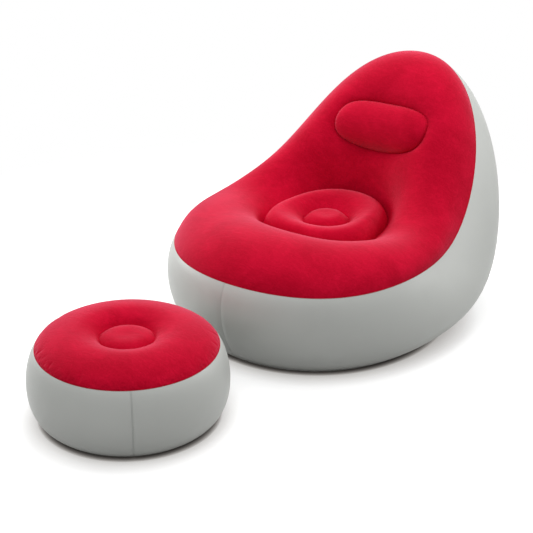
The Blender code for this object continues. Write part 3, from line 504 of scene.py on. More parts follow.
def cosine_series(values, angle):
    """Even run round the seat: the cosine sum that takes the given values at equal steps, front to back"""
    values = np.asarray(values, float)
    last = len(values) - 1
    order = np.arange(last + 1)
    weight = np.where((order == 0) | (order == last), 0.5, 1.0)
    waves = np.cos(np.pi * np.outer(order, order) / last)
    terms = 2.0 / last * weight * (waves @ (weight * values))
    return np.cos(np.multiply.outer(angle, order)) @ terms


def outward(angle):
    """Level unit direction (sin a, -cos a, 0)"""
    return np.stack([np.sin(angle), -np.cos(angle), np.zeros_like(angle)], -1)


def aim(angle, slope):
    """Unit direction that leaves the seat at the angle and climbs at the slope in degrees"""
    climb = np.radians(slope)
    return np.cos(climb)[..., None] * outward(angle) + np.sin(climb)[..., None] * np.array([0.0, 0.0, 1.0])


def unit(vectors):
    """Vectors over their own lengths"""
    return vectors / np.linalg.norm(vectors, axis=-1, keepdims=True)


def rim_ring(angle):
    """Rim weld: outward at a cosine series of radii, at a height that climbs by another one"""
    ring = (RIM_RADIUS * cosine_series(RIM_RADIUS_SHARES, angle))[..., None] * outward(angle)
    rise = cosine_series(RIM_RISE_SHARES, angle)
    ring[..., 2] = RIM_FRONT_HEIGHT + (RIM_BACK_HEIGHT - RIM_FRONT_HEIGHT) * rise
    return ring


def floor_ring(angle):
    """Floor weld: outward at a cosine series of radii, a bead's clearance above the floor"""
    ring = (FLOOR_RADIUS * cosine_series(FLOOR_RADIUS_SHARES, angle))[..., None] * outward(angle)
    ring[..., 2] = TRIM
    return ring


def pad_ring(angle):
    """Level crease round the seat pad: a cosine series of radii, moved back by the setback"""
    ring = (PAD_RADIUS * cosine_series(PAD_RADIUS_SHARES, angle))[..., None] * outward(angle)
    ring[..., 1] += PAD_SETBACK
    ring[..., 2] = PAD_CREASE_HEIGHT
    return ring


def round_ring(radius, height, setback=0.0):
    """Level circle of this radius and height, moved back by setback"""
    def ring(angle):
        points = radius * outward(angle)
        points[..., 1] += setback
        points[..., 2] = height
        return points
    return ring


def steady(value):
    """The same value at every angle"""
    return lambda angle: np.full(np.shape(angle), float(value))


def varied(values):
    """Cosine series of these values"""
    return lambda angle: cosine_series(values, angle)


class Sheet:
    """Loft of cubic Bezier profiles, one at each angle, from a start ring to an end ring.

    Point = (1-t)^3 A + 3(1-t)^2 t (A + a u) + 3(1-t) t^2 (B + b v) + t^3 B, where u and v leave the
    seat at the angle and climb at the two slopes, a and b are the reaches, and t is found from the
    share of the profile's length between the trims.
    """

    def __init__(self, start, end, slopes, reaches, trims):
        self.start = start
        self.end = end
        self.slopes = slopes
        self.reaches = reaches
        self.trims = trims

    def curve(self, angle, t):
        """Place on each profile at t, as the class says"""
        first = self.start(angle)
        last = self.end(angle)
        second = first + self.reaches[0](angle)[..., None] * aim(angle, self.slopes[0](angle))
        third = last + self.reaches[1](angle)[..., None] * aim(angle, self.slopes[1](angle))
        t = t[..., None]
        near = (1 - t) ** 3 * first + 3 * (1 - t) ** 2 * t * second
        return near + 3 * (1 - t) * t ** 2 * third + t ** 3 * last

    def runs(self, angle):
        """Length run along each profile up to even steps of t"""
        t = np.linspace(0, 1, CURVE_STEPS + 1)
        step = np.linalg.norm(np.diff(self.curve(angle[..., None], t), axis=-2), axis=-1)
        return np.concatenate([np.zeros(angle.shape + (1,)), np.cumsum(step, -1)], -1)

    def length(self, angle):
        """Length of the profiles at these angles between their trims"""
        return self.runs(np.asarray(angle, float))[..., -1] - sum(self.trims)

    def point(self, angle, share):
        """Place at a share of the profile's length, by a straight run between its even steps of t"""
        angle, share = np.broadcast_arrays(np.asarray(angle, float), np.asarray(share, float))
        run = self.runs(angle)
        want = self.trims[0] + share * (run[..., -1] - sum(self.trims))
        index = np.clip((run <= want[..., None]).sum(-1) - 1, 0, CURVE_STEPS - 1)[..., None]
        low = np.take_along_axis(run, index, -1)
        high = np.take_along_axis(run, index + 1, -1)
        part = (want[..., None] - low) / (high - low)
        return self.curve(angle, ((index + part) / CURVE_STEPS)[..., 0])

    def normal(self, angle, share):
        """Unit normal away from the air inside, from differences along and round the sheet"""
        share = np.clip(share, NUDGE, 1 - NUDGE)
        along = self.point(angle, share + NUDGE) - self.point(angle, share - NUDGE)
        across = self.point(angle + NUDGE, share) - self.point(angle - NUDGE, share)
        return unit(np.cross(along, across))

    def lifted(self, angle, share, lift):
        """Point + lift x normal"""
        return self.point(angle, share) + np.asarray(lift)[..., None] * self.normal(angle, share)


def crown_height(height, reach, slope):
    """Height of a dome's middle: half the climb of its edge's slope over its reach"""
    return height + reach * math.tan(math.radians(slope)) / 2


button_ring = round_ring(BUTTON_RADIUS, BUTTON_CREASE_HEIGHT, BUTTON_SETBACK)
button_top = crown_height(BUTTON_CREASE_HEIGHT, BUTTON_REACH, BUTTON_SLOPE)
button_middle = round_ring(0.0, button_top, BUTTON_SETBACK)
bolster = Sheet(pad_ring, rim_ring, (varied(BOLSTER_INNER_SLOPES), varied(BOLSTER_RIM_SLOPES)),
                (varied(BOLSTER_INNER_REACHES), varied(BOLSTER_RIM_REACHES)), (CREASE_TRIM, TRIM))
wall = Sheet(rim_ring, floor_ring, (varied(WALL_RIM_SLOPES), varied(WALL_FLOOR_SLOPES)),
             (varied(WALL_RIM_REACHES), varied(WALL_FLOOR_REACHES)), (TRIM, TRIM))
pad = Sheet(button_ring, pad_ring, (steady(PAD_INNER_SLOPE), steady(180 - PAD_EDGE_SLOPE)),
            (steady(PAD_INNER_REACH), steady(PAD_EDGE_REACH)), (CREASE_TRIM, CREASE_TRIM))
button = Sheet(button_middle, button_ring, (steady(0), steady(180 - BUTTON_SLOPE)),
               (steady(BUTTON_REACH), steady(BUTTON_REACH)), (0.0, CREASE_TRIM))

stool_rim = round_ring(STOOL_RIM_RADIUS, STOOL_RIM_HEIGHT)
stool_floor = round_ring(STOOL_FLOOR_RADIUS, TRIM)
stool_crease = round_ring(STOOL_BUTTON_RADIUS, STOOL_BUTTON_HEIGHT)
stool_middle = round_ring(0.0, crown_height(STOOL_BUTTON_HEIGHT, STOOL_BUTTON_REACH, STOOL_BUTTON_SLOPE))
stool_top = Sheet(stool_crease, stool_rim, (steady(STOOL_INNER_SLOPE), steady(STOOL_RIM_SLOPE)),
                  (steady(STOOL_INNER_REACH), steady(STOOL_RIM_REACH)), (CREASE_TRIM, TRIM))
stool_button = Sheet(stool_middle, stool_crease, (steady(0), steady(180 - STOOL_BUTTON_SLOPE)),
                     (steady(STOOL_BUTTON_REACH), steady(STOOL_BUTTON_REACH)), (0.0, CREASE_TRIM))
stool_wall = Sheet(stool_rim, stool_floor, (steady(STOOL_WALL_RIM_SLOPE), steady(STOOL_WALL_FLOOR_SLOPE)),
                   (steady(STOOL_WALL_RIM_REACH), steady(STOOL_WALL_FLOOR_REACH)), (TRIM, TRIM))


def round_angles(steps, gather=GATHER_SHARE):
    """Angles all the way round, closer together at the front and the back"""
    even = 2 * np.pi * np.arange(steps) / steps
    return even - gather / 2 * np.sin(2 * even)


def end_weighted(count):
    """Shares from 0 to 1 that lie closer together near both ends"""
    even = np.linspace(0, 1, count + 1)
    return even - END_LEAN * np.sin(2 * np.pi * even) / (2 * np.pi)


def grid_faces(rows, columns, closed):
    """Quads of a grid whose points are numbered row by row"""
    across = columns if closed else columns - 1
    row, column = np.meshgrid(np.arange(rows - 1), np.arange(across), indexing="ij")
    beside = (column + 1) % columns
    corners = (row * columns + column, (row + 1) * columns + column,
               (row + 1) * columns + beside, row * columns + beside)
    return np.stack(corners, -1).reshape(-1, 4)


def block_edge(rows, columns):
    """Rows and columns of the grid points round a block of cells, in order"""
    down = np.arange(*rows)
    over = np.arange(*columns)
    row = np.concatenate([np.full(len(over), rows[0]), down, np.full(len(over), rows[1]), down[::-1] + 1])
    sides = [np.full(len(down), column) for column in columns]
    return row, np.concatenate([over, sides[1], over[::-1] + 1, sides[0]])


def ringed_hole(grid, closed, rows, columns, rings):
    """Points and faces of a grid in which a block of cells gives way to rings that shrink to a hole"""
    width = grid.shape[1]
    faces = grid_faces(*grid.shape[:2], closed)
    row, column = np.divmod(faces[:, 0], width)
    inside = (row >= rows[0]) & (row < rows[1]) & (column >= columns[0]) & (column < columns[1])
    edge_row, edge_column = block_edge(rows, columns)
    numbers = grid.shape[0] * width + np.arange(rings.shape[0] * rings.shape[1]).reshape(rings.shape[:2])
    loops = np.concatenate([(edge_row * width + edge_column)[None], numbers])
    collar = np.concatenate([loop_faces(outer, inner) for outer, inner in zip(loops[:-1], loops[1:])])
    points = np.concatenate([grid.reshape(-1, 3), rings.reshape(-1, 3)])
    return points, np.concatenate([faces[~inside], collar])


def loop_faces(outer, inner):
    """Quads between two closed loops of point numbers"""
    return np.stack([outer, inner, np.roll(inner, -1), np.roll(outer, -1)], -1)


def fan_faces(loop, middle):
    """Triangles from a closed loop of point numbers to a middle point"""
    return np.stack([loop, np.full(len(loop), middle), np.roll(loop, -1)], -1)


def set_off(line, tangent, other, reach):
    """Points a reach away from a line, square to its tangent, on the side of the other points"""
    tangent = unit(tangent)
    toward = other - line
    toward = toward - (toward * tangent).sum(axis=-1, keepdims=True) * tangent
    return line + reach * unit(toward)


def clear_of(ring, angle, other, reach):
    """Points a reach away from a ring, towards the other points"""
    return set_off(ring(angle), ring(angle + NUDGE) - ring(angle - NUDGE), other, reach)


def grid_normals(grid, closed):
    """Unit normals of a grid: the cross product of its differences along and round"""
    along = np.gradient(grid, axis=0)
    if closed:
        across = (np.roll(grid, -1, axis=1) - np.roll(grid, 1, axis=1)) / 2
    else:
        across = np.gradient(grid, axis=1)
    return unit(np.cross(along, across))


def grooves(which, angle, distance, radius, depth, where=None):
    """Depth of irregular gathers that run away from a weld.

    Sum over the gathers of depth x bell(arc from its line / width) x fade(distance / reach), with a
    short rise from nothing at the weld itself.
    """
    count, width, share, reach, seed = GATHERS[which]
    draw = np.random.default_rng(seed)
    lines = 2 * np.pi * (np.arange(count) + draw.uniform(-GATHER_JITTER, GATHER_JITTER, count)) / count
    depths = share * depth * draw.uniform(*GATHER_DEPTHS, count) ** GATHER_DEPTH_POWER
    reaches = reach * draw.uniform(*GATHER_REACHES, count)
    widths = width * draw.uniform(*GATHER_WIDTHS, count)
    if where is not None:
        depths = depths * where(lines)
    half_arc = (angle[..., None] - lines) / 2
    bell = np.where(np.cos(half_arc) < 0, 0.0, np.exp(-(2 * radius * np.sin(half_arc) / widths) ** 2))
    rise = 1 - np.exp(-distance[..., None] / GATHER_RISE)
    fade = np.exp(-distance[..., None] / reaches) * rise
    return (bell * fade * depths).sum(-1)


def high_back(angle):
    """1 at the tight bend of the rim over the high back, falling to a small share at the front"""
    least, middle, spread = HIGH_BACK
    return least + (1 - least) * np.exp(-((np.cos(angle) - middle) / spread) ** 2)


def sheet_grid(sheet, angles, shares, closed=True, relief=None):
    """Points of a sheet on a grid of shares by angles, pressed in by the relief and clear of its welds"""
    angle, share = np.broadcast_arrays(angles, shares[:, None])
    grid = sheet.point(angle, share)
    if relief is not None:
        grid = grid - relief(angle, share, sheet.length(angle[0]))[..., None] * grid_normals(grid, closed)
    if sheet.trims[0]:
        grid[0] = clear_of(sheet.start, angle[0], grid[1], sheet.trims[0])
    grid[-1] = clear_of(sheet.end, angle[-1], grid[-2], sheet.trims[1])
    return grid


def packed(points, quads, triangles):
    """Drop the points that no face uses"""
    used, numbers = np.unique(np.concatenate([quads.ravel(), triangles.ravel()]), return_inverse=True)
    return points[used], numbers[:quads.size].reshape(-1, 4), numbers[quads.size:].reshape(-1, 3)


def new_piece(name, points, quads, triangles=np.zeros((0, 3), int)):
    """Object at the origin with a smooth mesh of these points, quads and triangles"""
    points, quads, triangles = packed(np.asarray(points, float), quads, triangles)
    data = bpy.data.meshes.new(name)
    data.from_pydata(points.tolist(), [], quads.tolist() + triangles.tolist())
    data.shade_smooth()
    piece = bpy.data.objects.new(name, data)
    bpy.context.scene.collection.objects.link(piece)
    return piece


def thicken(piece, thickness):
    """Film of this thickness on the sheet's inner side, cut square along its edges"""
    mesh = bmesh.new()
    mesh.from_mesh(piece.data)
    for edge in mesh.edges:
        edge.smooth = not edge.is_boundary
    mesh.to_mesh(piece.data)
    mesh.free()
    film = piece.modifiers.new("film", "SOLIDIFY")
    film.thickness = thickness
    film.offset = -1.0
    film.use_even_offset = True
    return piece


def point_array(data):
    """Places of a mesh's points, one row each"""
    places = np.empty(len(data.vertices) * 3)
    data.vertices.foreach_get("co", places)
    return places.reshape(-1, 3)


def blown_up(piece, spare, cap):
    """Press air against a sheet held at its welds with Blender's cloth, and keep the shape it takes.

    The film is wider than its place by the spare share, which gathers it at the welds. A point's move
    m is shortened to m x cap / (cap^2 + |m|^2)^(1/2).
    """
    data = piece.data
    start = point_array(data)
    mesh = bmesh.new()
    mesh.from_mesh(data)
    held = [point.index for point in mesh.verts if point.is_boundary]
    mesh.free()
    piece.vertex_groups.new(name="welds").add(held, 1.0, "REPLACE")
    air = piece.modifiers.new("air", "CLOTH")
    air.settings.vertex_group_mass = "welds"
    air.settings.use_pressure = True
    air.settings.uniform_pressure_force = AIR_PRESSURE
    air.settings.shrink_min = -spare
    air.settings.effector_weights.gravity = 0.0
    air.collision_settings.use_collision = False
    air.point_cache.frame_start = 1
    air.point_cache.frame_end = AIR_FRAMES
    for number in range(1, AIR_FRAMES + 1):
        bpy.context.scene.frame_set(number)
    blown = piece.evaluated_get(bpy.context.evaluated_depsgraph_get())
    move = point_array(blown.to_mesh()) - start
    blown.to_mesh_clear()
    piece.modifiers.remove(air)
    piece.vertex_groups.clear()
    bpy.context.scene.frame_set(1)
    share = cap / np.sqrt(cap ** 2 + (move ** 2).sum(axis=-1, keepdims=True))
    data.vertices.foreach_set("co", (start + share * move).ravel())
    data.update()
    return piece


def settle(piece, body, material, node):
    """Finish a piece: its material, the body it rides and the CAD node it stands for"""
    piece.data.materials.append(material)
    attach(piece, body)
    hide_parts(node)


def settle_padded(piece, body, material, node):
    """Finish a velour skin as settle finishes any piece"""
    settle(piece, body, material, node)


def tube(name, line, radius):
    """Closed round bead: circles of this radius square to a closed line of points"""
    tangent = unit(np.roll(line, -1, axis=0) - np.roll(line, 1, axis=0))
    side = unit(np.cross(tangent, np.array([0.0, 0.0, 1.0])))
    lift = np.cross(side, tangent)
    turn = 2 * np.pi * np.arange(BEAD_SIDES) / BEAD_SIDES
    circle = np.cos(turn)[:, None, None] * side + np.sin(turn)[:, None, None] * lift
    rings = line + radius * circle
    count = len(line)
    row, column = np.meshgrid(np.arange(BEAD_SIDES), np.arange(count), indexing="ij")
    over = (row + 1) % BEAD_SIDES
    beside = (column + 1) % count
    corners = (row * count + column, over * count + column, over * count + beside, row * count + beside)
    return new_piece(name, rings.reshape(-1, 3), np.stack(corners, -1).reshape(-1, 4)[:, ::-1])


def dome(name, sheet, steps, rows, place=np.zeros(3)):
    """Dome that closes at its middle point: rings of a sheet, spaced as a sine, and a fan"""
    angles = round_angles(steps, 0.0)
    shares = np.sin(np.pi / 2 * np.linspace(0, 1, rows + 1))
    grid = sheet_grid(sheet, angles, shares)
    points = np.concatenate([grid[1:].reshape(-1, 3), grid[0, :1]]) + place
    quads = grid_faces(rows, steps, True)
    return new_piece(name, points, quads, fan_faces(np.arange(steps), rows * steps)[:, ::-1])


def back_run():
    """Length of the bolster's profile up the middle of the back, welds included"""
    return float(bolster.length(np.pi)) + sum(bolster.trims)


def back_radius(share):
    """Distance of the bolster's middle profile from the upright axis at this share of it"""
    return np.abs(bolster.point(np.full(share.shape, np.pi), share)[..., 1])


def pillow_rise(across):
    """How much higher on the back the pillow's axis lies: bow x (across / half width)^2 + tilt x across"""
    return PILLOW_BOW * (across / PILLOW_HALF_WIDTH) ** 2 + PILLOW_TILT * across


def pillow_chart(across, upward):
    """Angle and share on the bolster of a place on the backrest, in metres from the pillow's middle"""
    across, upward = np.broadcast_arrays(np.asarray(across, float), np.asarray(upward, float))
    share = np.clip((PILLOW_UP_THE_BACK + upward + pillow_rise(across)) / back_run(), 0.0, 1.0)
    sideways = np.clip((across + PILLOW_ASIDE) / back_radius(share), -1.0, 1.0)
    return np.pi - np.arcsin(sideways), share


def powered_sum(first, second):
    """|x|^n + |y|^n, which is 1 on the pillow's outline for x and y as shares of its half sizes"""
    return np.abs(first) ** PILLOW_SQUARENESS + np.abs(second) ** PILLOW_SQUARENESS


def pillow_edge(turn):
    """Place on the outline |x/a|^n + |y/b|^n = 1 at this turn round it"""
    cosine = np.cos(turn)
    sine = np.sin(turn)
    size = powered_sum(cosine, sine) ** (-1 / PILLOW_SQUARENESS)
    return PILLOW_HALF_WIDTH * size * cosine, PILLOW_HALF_HEIGHT * size * sine


def pillow_distance(angle, share):
    """How far outside the pillow's edge a place on the bolster lies, along the line to its middle"""
    across = np.where(np.cos(angle) < 0, back_radius(share) * np.sin(angle), 1.0) - PILLOW_ASIDE
    upward = share * back_run() - PILLOW_UP_THE_BACK - pillow_rise(across)
    size = powered_sum(across / PILLOW_HALF_WIDTH, upward / PILLOW_HALF_HEIGHT) ** (1 / PILLOW_SQUARENESS)
    return np.clip(1 - 1 / np.maximum(size, 1.0), 0, 1) * np.hypot(across, upward)


def pillow_dip(distance):
    """Depth that the crease draws the bolster in to: a tight dip and a wide valley, both fading outwards"""
    tight = PILLOW_CREASE_DEPTH * np.exp(-distance / PILLOW_CREASE_FADE)
    wide = PILLOW_VALLEY_DEPTH * np.exp(-distance / PILLOW_VALLEY_FADE)
    left = np.clip(1 - distance / PILLOW_VALLEY_REACH, 0, 1)
    return (tight + wide) * left * left * (3 - 2 * left)


class PillowLayout:
    """Grid places round the pillow, and the crease line on the bolster that answers to each of them."""

    def __init__(self):
        self.angles = round_angles(ROUND_STEPS)
        self.shares = end_weighted(BOLSTER_ROWS)
        run = back_run()
        side_angle = pillow_chart(PILLOW_HALF_WIDTH + PILLOW_MARGIN + PILLOW_ASIDE, 0.0)[0]
        low = (PILLOW_UP_THE_BACK - PILLOW_HALF_HEIGHT - PILLOW_MARGIN) / run
        high = (PILLOW_UP_THE_BACK + PILLOW_HALF_HEIGHT + PILLOW_BOW + PILLOW_MARGIN) / run
        middle = len(self.angles) // 2
        half = int((self.angles[middle:] < 2 * np.pi - side_angle).sum())
        self.rows = (int((self.shares < low).sum()) - 1, int((self.shares < high).sum()))
        self.columns = (middle - half, middle + half)
        row, column = block_edge(self.rows, self.columns)
        self.angle = self.angles[column]
        self.share = self.shares[row]
        self.middle = [float(value) for value in pillow_chart(0.0, 0.0)]
        half_angle = self.middle[0] - float(pillow_chart(PILLOW_HALF_WIDTH, 0.0)[0])
        sideways = (self.middle[0] - self.angle) / half_angle
        rise = PILLOW_BOW * np.minimum(np.abs(sideways), 1.0) ** 2
        rise = rise + PILLOW_TILT * PILLOW_HALF_WIDTH * np.clip(sideways, -1.0, 1.0)
        upward = (self.share - self.middle[1]) * run - rise
        self.turn = np.arctan2(upward / PILLOW_HALF_HEIGHT, sideways)
        edge = pillow_edge(self.turn)
        self.edge_across = edge[0] / PILLOW_HALF_WIDTH
        self.edge_up = edge[1] / PILLOW_HALF_HEIGHT
        self.edge_angle, self.edge_share = pillow_chart(*edge)
        depth = np.full(len(self.turn), -PILLOW_DEPTH)
        self.crease = bolster.lifted(self.edge_angle, self.edge_share, depth)
        self.tangent = np.roll(self.crease, -1, axis=0) - np.roll(self.crease, 1, axis=0)

    def collar(self):
        """Rings from the grid border in to the crease, on the slope of its dip"""
        widths = np.append(np.linspace(1, 0, COLLAR_RINGS + 2)[1:-2] ** COLLAR_LEAN, 0.0)[:, None]
        angle = self.edge_angle + widths * (self.angle - self.edge_angle)
        share = self.edge_share + widths * (self.share - self.edge_share)
        rings = bolster.lifted(angle, share, -pillow_dip(pillow_distance(angle, share)))
        rings[-1] = set_off(self.crease, self.tangent, rings[-2], CREASE_TRIM)
        return rings


def build_bolster(looks):
    """Bolster: its sheet, pressed in by gathers and the pillow's dip, with a collar down to the crease"""
    sizes = looks.sizes

    def relief(angle, share, length):
        """Gathers at the rim + lines at the pad + the pillow's dip"""
        rim = (1 - share) * length
        gathers = grooves("bolster at the rim", angle, rim, RIM_RADIUS, sizes.pucker_depth, high_back)
        lines = grooves("bolster at the pad", angle, share * length, PAD_RADIUS, sizes.crease_pucker_depth)
        return gathers + lines + pillow_dip(pillow_distance(angle, share))

    place = PillowLayout()
    grid = sheet_grid(bolster, place.angles, place.shares, relief=relief)
    points, faces = ringed_hole(grid, True, place.rows, place.columns, place.collar())
    return thicken(new_piece("bolster", points, faces), sizes.velour_film)


def span(line, turn, spread):
    """Smooth sheet across a closed line: k waves round the line die off as spread^k towards its middle"""
    samples = np.linspace(-np.pi, np.pi, 8 * PILLOW_WAVES, endpoint=False)
    even = np.stack([np.interp(samples, turn, places, period=2 * np.pi) for places in line.T], axis=1)
    waves = np.arange(PILLOW_WAVES)
    parts = np.exp(-1j * waves[:, None] * samples) @ even / len(samples)
    parts[1:] *= 2
    round_line = np.exp(1j * turn[:, None] * waves) * spread[..., None] ** waves
    return (round_line @ parts).real, parts[0].real


def build_pillow(looks):
    """Pillow: a sheet across its crease, swollen as the body that its outline turns about its long axis.

    The swell at (x, y) is sqrt(Y(x)^2 - y^2), with Y(x) the outline's half height, all as shares. It
    points along the crease's area vector, the sum of the cross products of its neighbouring points.
    """
    place = PillowLayout()
    spread = np.sin(np.pi / 2 * np.linspace(1, 0, PILLOW_RINGS + 1))[:-1, None]
    across = spread * place.edge_across
    upward = spread * place.edge_up
    half_height = np.clip(1 - np.abs(across) ** PILLOW_SQUARENESS, 0, 1) ** (1 / PILLOW_SQUARENESS)
    swell = PILLOW_SWELL * np.sqrt(np.maximum(half_height ** 2 - upward ** 2, 0))
    rings, middle = span(place.crease, place.turn, spread)
    out = unit(np.cross(np.roll(place.crease, -1, axis=0), place.crease).sum(axis=0))
    rings = rings + swell[..., None] * out
    rings[0] = set_off(place.crease, place.tangent, rings[1], CREASE_TRIM)
    crown = (middle + PILLOW_SWELL * out)[None]
    count = len(place.turn)
    points = np.concatenate([rings.reshape(-1, 3), crown])
    quads = grid_faces(PILLOW_RINGS, count, True)
    last = (PILLOW_RINGS - 1) * count
    skin = new_piece("head_pillow", points, quads, fan_faces(last + np.arange(count), len(points) - 1))
    return thicken(skin, looks.sizes.velour_film)


def node_frame(name):
    """Middle of a flat round CAD node and the direction in which its points spread least"""
    points = point_array(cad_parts[name].data)
    middle = (points.min(axis=0) + points.max(axis=0)) / 2
    spread = np.linalg.svd(points - points.mean(axis=0), full_matrices=False)[2]
    return middle, spread[-1]


def valve_seat(flap, centre):
    """Middle and outward normal of the flat on the wall that carries a valve, from the flap behind it"""
    middle, facing = node_frame(flap)
    if np.dot(facing, middle - centre) < 0:
        facing = -facing
    return middle + FLAP_DEPTH * facing, facing


def flattened(grid, seat):
    """Press the grid near a valve on to its seat's plane, by a share that fades with distance"""
    middle, facing = seat
    away = grid - middle
    height = away @ facing
    distance = np.linalg.norm(away - height[..., None] * facing, axis=-1)
    fade = np.clip((distance - VALVE_FLAT) / VALVE_FLAT_FADE, 0, 1)
    share = (1 - fade * fade * (3 - 2 * fade)) * (np.linalg.norm(away, axis=-1) < VALVE_FLAT_LIMIT)
    return grid - (share * height)[..., None] * facing


def pierced(name, grid, seat):
    """Wall with a flat for the valve and a round neck hole, which rings of points join to the grid"""
    grid = flattened(grid, seat)
    middle, facing = seat
    row, column = divmod(int(np.argmin(np.linalg.norm(grid - middle, axis=-1))), grid.shape[1])
    wide = int(np.ceil(NECK_RINGS_REACH / np.linalg.norm(grid[row, column + 1] - grid[row, column])))
    high = int(np.ceil(NECK_RINGS_REACH / np.linalg.norm(grid[row + 1, column] - grid[row, column])))
    rows = (row - high, row + high)
    columns = (column - wide, column + wide)
    edge = grid[block_edge(rows, columns)]
    flat = edge - middle
    flat = flat - (flat @ facing)[:, None] * facing
    circle = middle + NECK_HOLE_RADIUS * unit(flat)
    widths = np.linspace(1, 0, NECK_RINGS + 1)[1:, None, None]
    return new_piece(name, *ringed_hole(grid, False, rows, columns, circle + widths * (edge - circle)))


def seam_turn(sheet, shares, middle, reach):
    """Angle at each share that lies a reach to the side of a seam line at the middle angle"""
    radius = np.linalg.norm(sheet.point(np.full(len(shares), middle), shares)[:, :2], axis=-1)
    return np.arcsin(reach / radius)


def seam_valley(angle, share, middle, radius, valley):
    """Shallow valley of the wall along an upright weld: depth x bell(arc / width), less at its ends"""
    depth, width = valley
    arc = 2 * radius * np.sin((angle - middle) / 2)
    return depth * np.exp(-(arc / width) ** 2) * np.sin(np.pi * share) ** 0.5


def build_wall(looks, side):
    """One side wall from the front weld round to the rear weld; the right one is pierced for the valve"""
    depth = looks.sizes.pucker_depth

    def relief(angle, share, length):
        """Gathers at the rim and the floor + the valleys beside both upright welds"""
        gathers = grooves("wall at the rim", angle, share * length, RIM_RADIUS, depth, high_back)
        gathers = gathers + grooves("wall at the floor", angle, (1 - share) * length, FLOOR_RADIUS, depth)
        gathers = gathers + seam_valley(angle, share, 0.0, RIM_RADIUS, SEAM_VALLEY)
        return gathers + seam_valley(angle, share, np.pi, RIM_RADIUS, SEAM_VALLEY)

    shares = end_weighted(WALL_ROWS)
    half = round_angles(ROUND_STEPS)[:ROUND_STEPS // 2 + 1]
    reach = SEAM_HALF_WIDTH + WELD_GAP
    front = seam_turn(wall, shares, 0.0, reach)[:, None]
    rear = np.pi - seam_turn(wall, shares, np.pi, reach)[:, None]
    inner = half[3:-3]
    thirds = np.array([0.33, 0.67])
    angle = np.concatenate([front, front + (inner[0] - front) * thirds,
                            np.broadcast_to(inner, (len(shares), len(inner))),
                            inner[-1] + (rear - inner[-1]) * thirds, rear], axis=1)
    grid = sheet_grid(wall, angle, shares, False, relief)
    grid[..., 0] *= side
    if side < 0:
        return new_piece("left_wall", grid.reshape(-1, 3), grid_faces(*grid.shape[:2], False)[:, ::-1])
    return pierced("right_wall", grid, valve_seat("valve_flap", np.array([0.0, 0.0, RIM_FRONT_HEIGHT])))


def seam_strip(name, sheet, middle, rows, valley, offset=np.zeros(3)):
    """Upright lap weld: a narrow strip, proud of the wall, with its edges rounded down"""
    def relief(angle, share, length):
        """Depth of the wall's valley - the strip's own height"""
        return valley[0] * np.sin(np.pi * share) ** 0.5 - SEAM_PROUD * SEAM_HEIGHTS

    shares = end_weighted(rows)
    turn = seam_turn(sheet, shares, middle, SEAM_HALF_WIDTH)
    grid = sheet_grid(sheet, middle + turn[:, None] * SEAM_ACROSS, shares, False, relief) + offset
    return new_piece(name, grid.reshape(-1, 3), grid_faces(*grid.shape[:2], False))


def build_stool_wall(looks):
    """Footstool's wall, once round from the weld back to it, pierced for the valve"""
    depth = looks.sizes.pucker_depth

    def relief(angle, share, length):
        """Gathers at the rim and the floor + the valley on either side of the weld"""
        gathers = grooves("footstool wall at the rim", angle, share * length, STOOL_RIM_RADIUS, depth)
        gathers = gathers + grooves("footstool wall at the floor", angle, (1 - share) * length,
                                    STOOL_FLOOR_RADIUS, depth)
        for turn in (STOOL_SEAM_TURN, STOOL_SEAM_TURN + 2 * np.pi):
            gathers = gathers + seam_valley(angle, share, turn, STOOL_RIM_RADIUS, STOOL_SEAM_VALLEY)
        return gathers

    shares = end_weighted(STOOL_WALL_ROWS)
    reach = seam_turn(stool_wall, shares, STOOL_SEAM_TURN, SEAM_HALF_WIDTH + WELD_GAP)[:, None]
    along = np.linspace(0, 1, STOOL_STEPS + 1)
    angle = STOOL_SEAM_TURN + reach + (2 * np.pi - 2 * reach) * along
    grid = sheet_grid(stool_wall, angle, shares, False, relief) + STOOL_PLACE
    centre = STOOL_PLACE + np.array([0.0, 0.0, STOOL_RIM_HEIGHT / 2])
    return pierced("footstool_wall", grid, valve_seat("footstool_valve_flap", centre))


def build_ring_skin(name, sheet, steps, rows, thickness, air, relief, place=np.zeros(3)):
    """Ring skin: its sheet pressed in by the relief, then pressed out by the air"""
    grid = sheet_grid(sheet, round_angles(steps, 0.0), end_weighted(rows), relief=relief) + place
    skin = new_piece(name, grid.reshape(-1, 3), grid_faces(rows + 1, steps, True))
    return thicken(blown_up(skin, *air), thickness)


def disc(name, ring, steps, place=np.zeros(3)):
    """Flat floor sheet: rings that shrink from just inside the floor weld to a middle point"""
    angles = round_angles(steps, 0.0)
    edge = ring(angles) - TRIM * outward(angles)
    edge[:, 2] = 0.0
    shares = np.array([1.0, 0.75, 0.5, 0.25])
    rings = shares[:, None, None] * edge + place
    points = np.concatenate([rings.reshape(-1, 3), place[None]])
    quads = grid_faces(len(shares), steps, True)
    triangles = fan_faces((len(shares) - 1) * steps + np.arange(steps), len(points) - 1)
    return new_piece(name, points, quads, triangles)


def materials(looks):
    """Finishes by name, made once"""
    finishes = looks.finishes
    makers = {
        "red_velour": lambda name: velour_finish(name, finishes.velour, looks.sizes.pile),
        "pressed_velour": lambda name: plain_finish(name, finishes.velour),
        "grey_film": lambda name: wall_finish(name, finishes.wall),
        "grey_weld": lambda name: wall_weld_finish(name, finishes.wall),
        "valve_plastic": lambda name: plain_finish(name, finishes.valve),
        "clear_film": lambda name: plain_finish(name, finishes.inner),
    }
    return {name: bpy.data.materials.get(name) or make(name) for name, make in makers.items()}


def add_beads(paints, body, beads):
    """Weld beads of one body, each given by its name, line, radius, slot and CAD node"""
    for name, line, radius, slot, node in beads:
        paint = paints["pressed_velour" if slot == "velour_weld" else "grey_weld"]
        settle(tube(name, line, radius), body, paint, node)


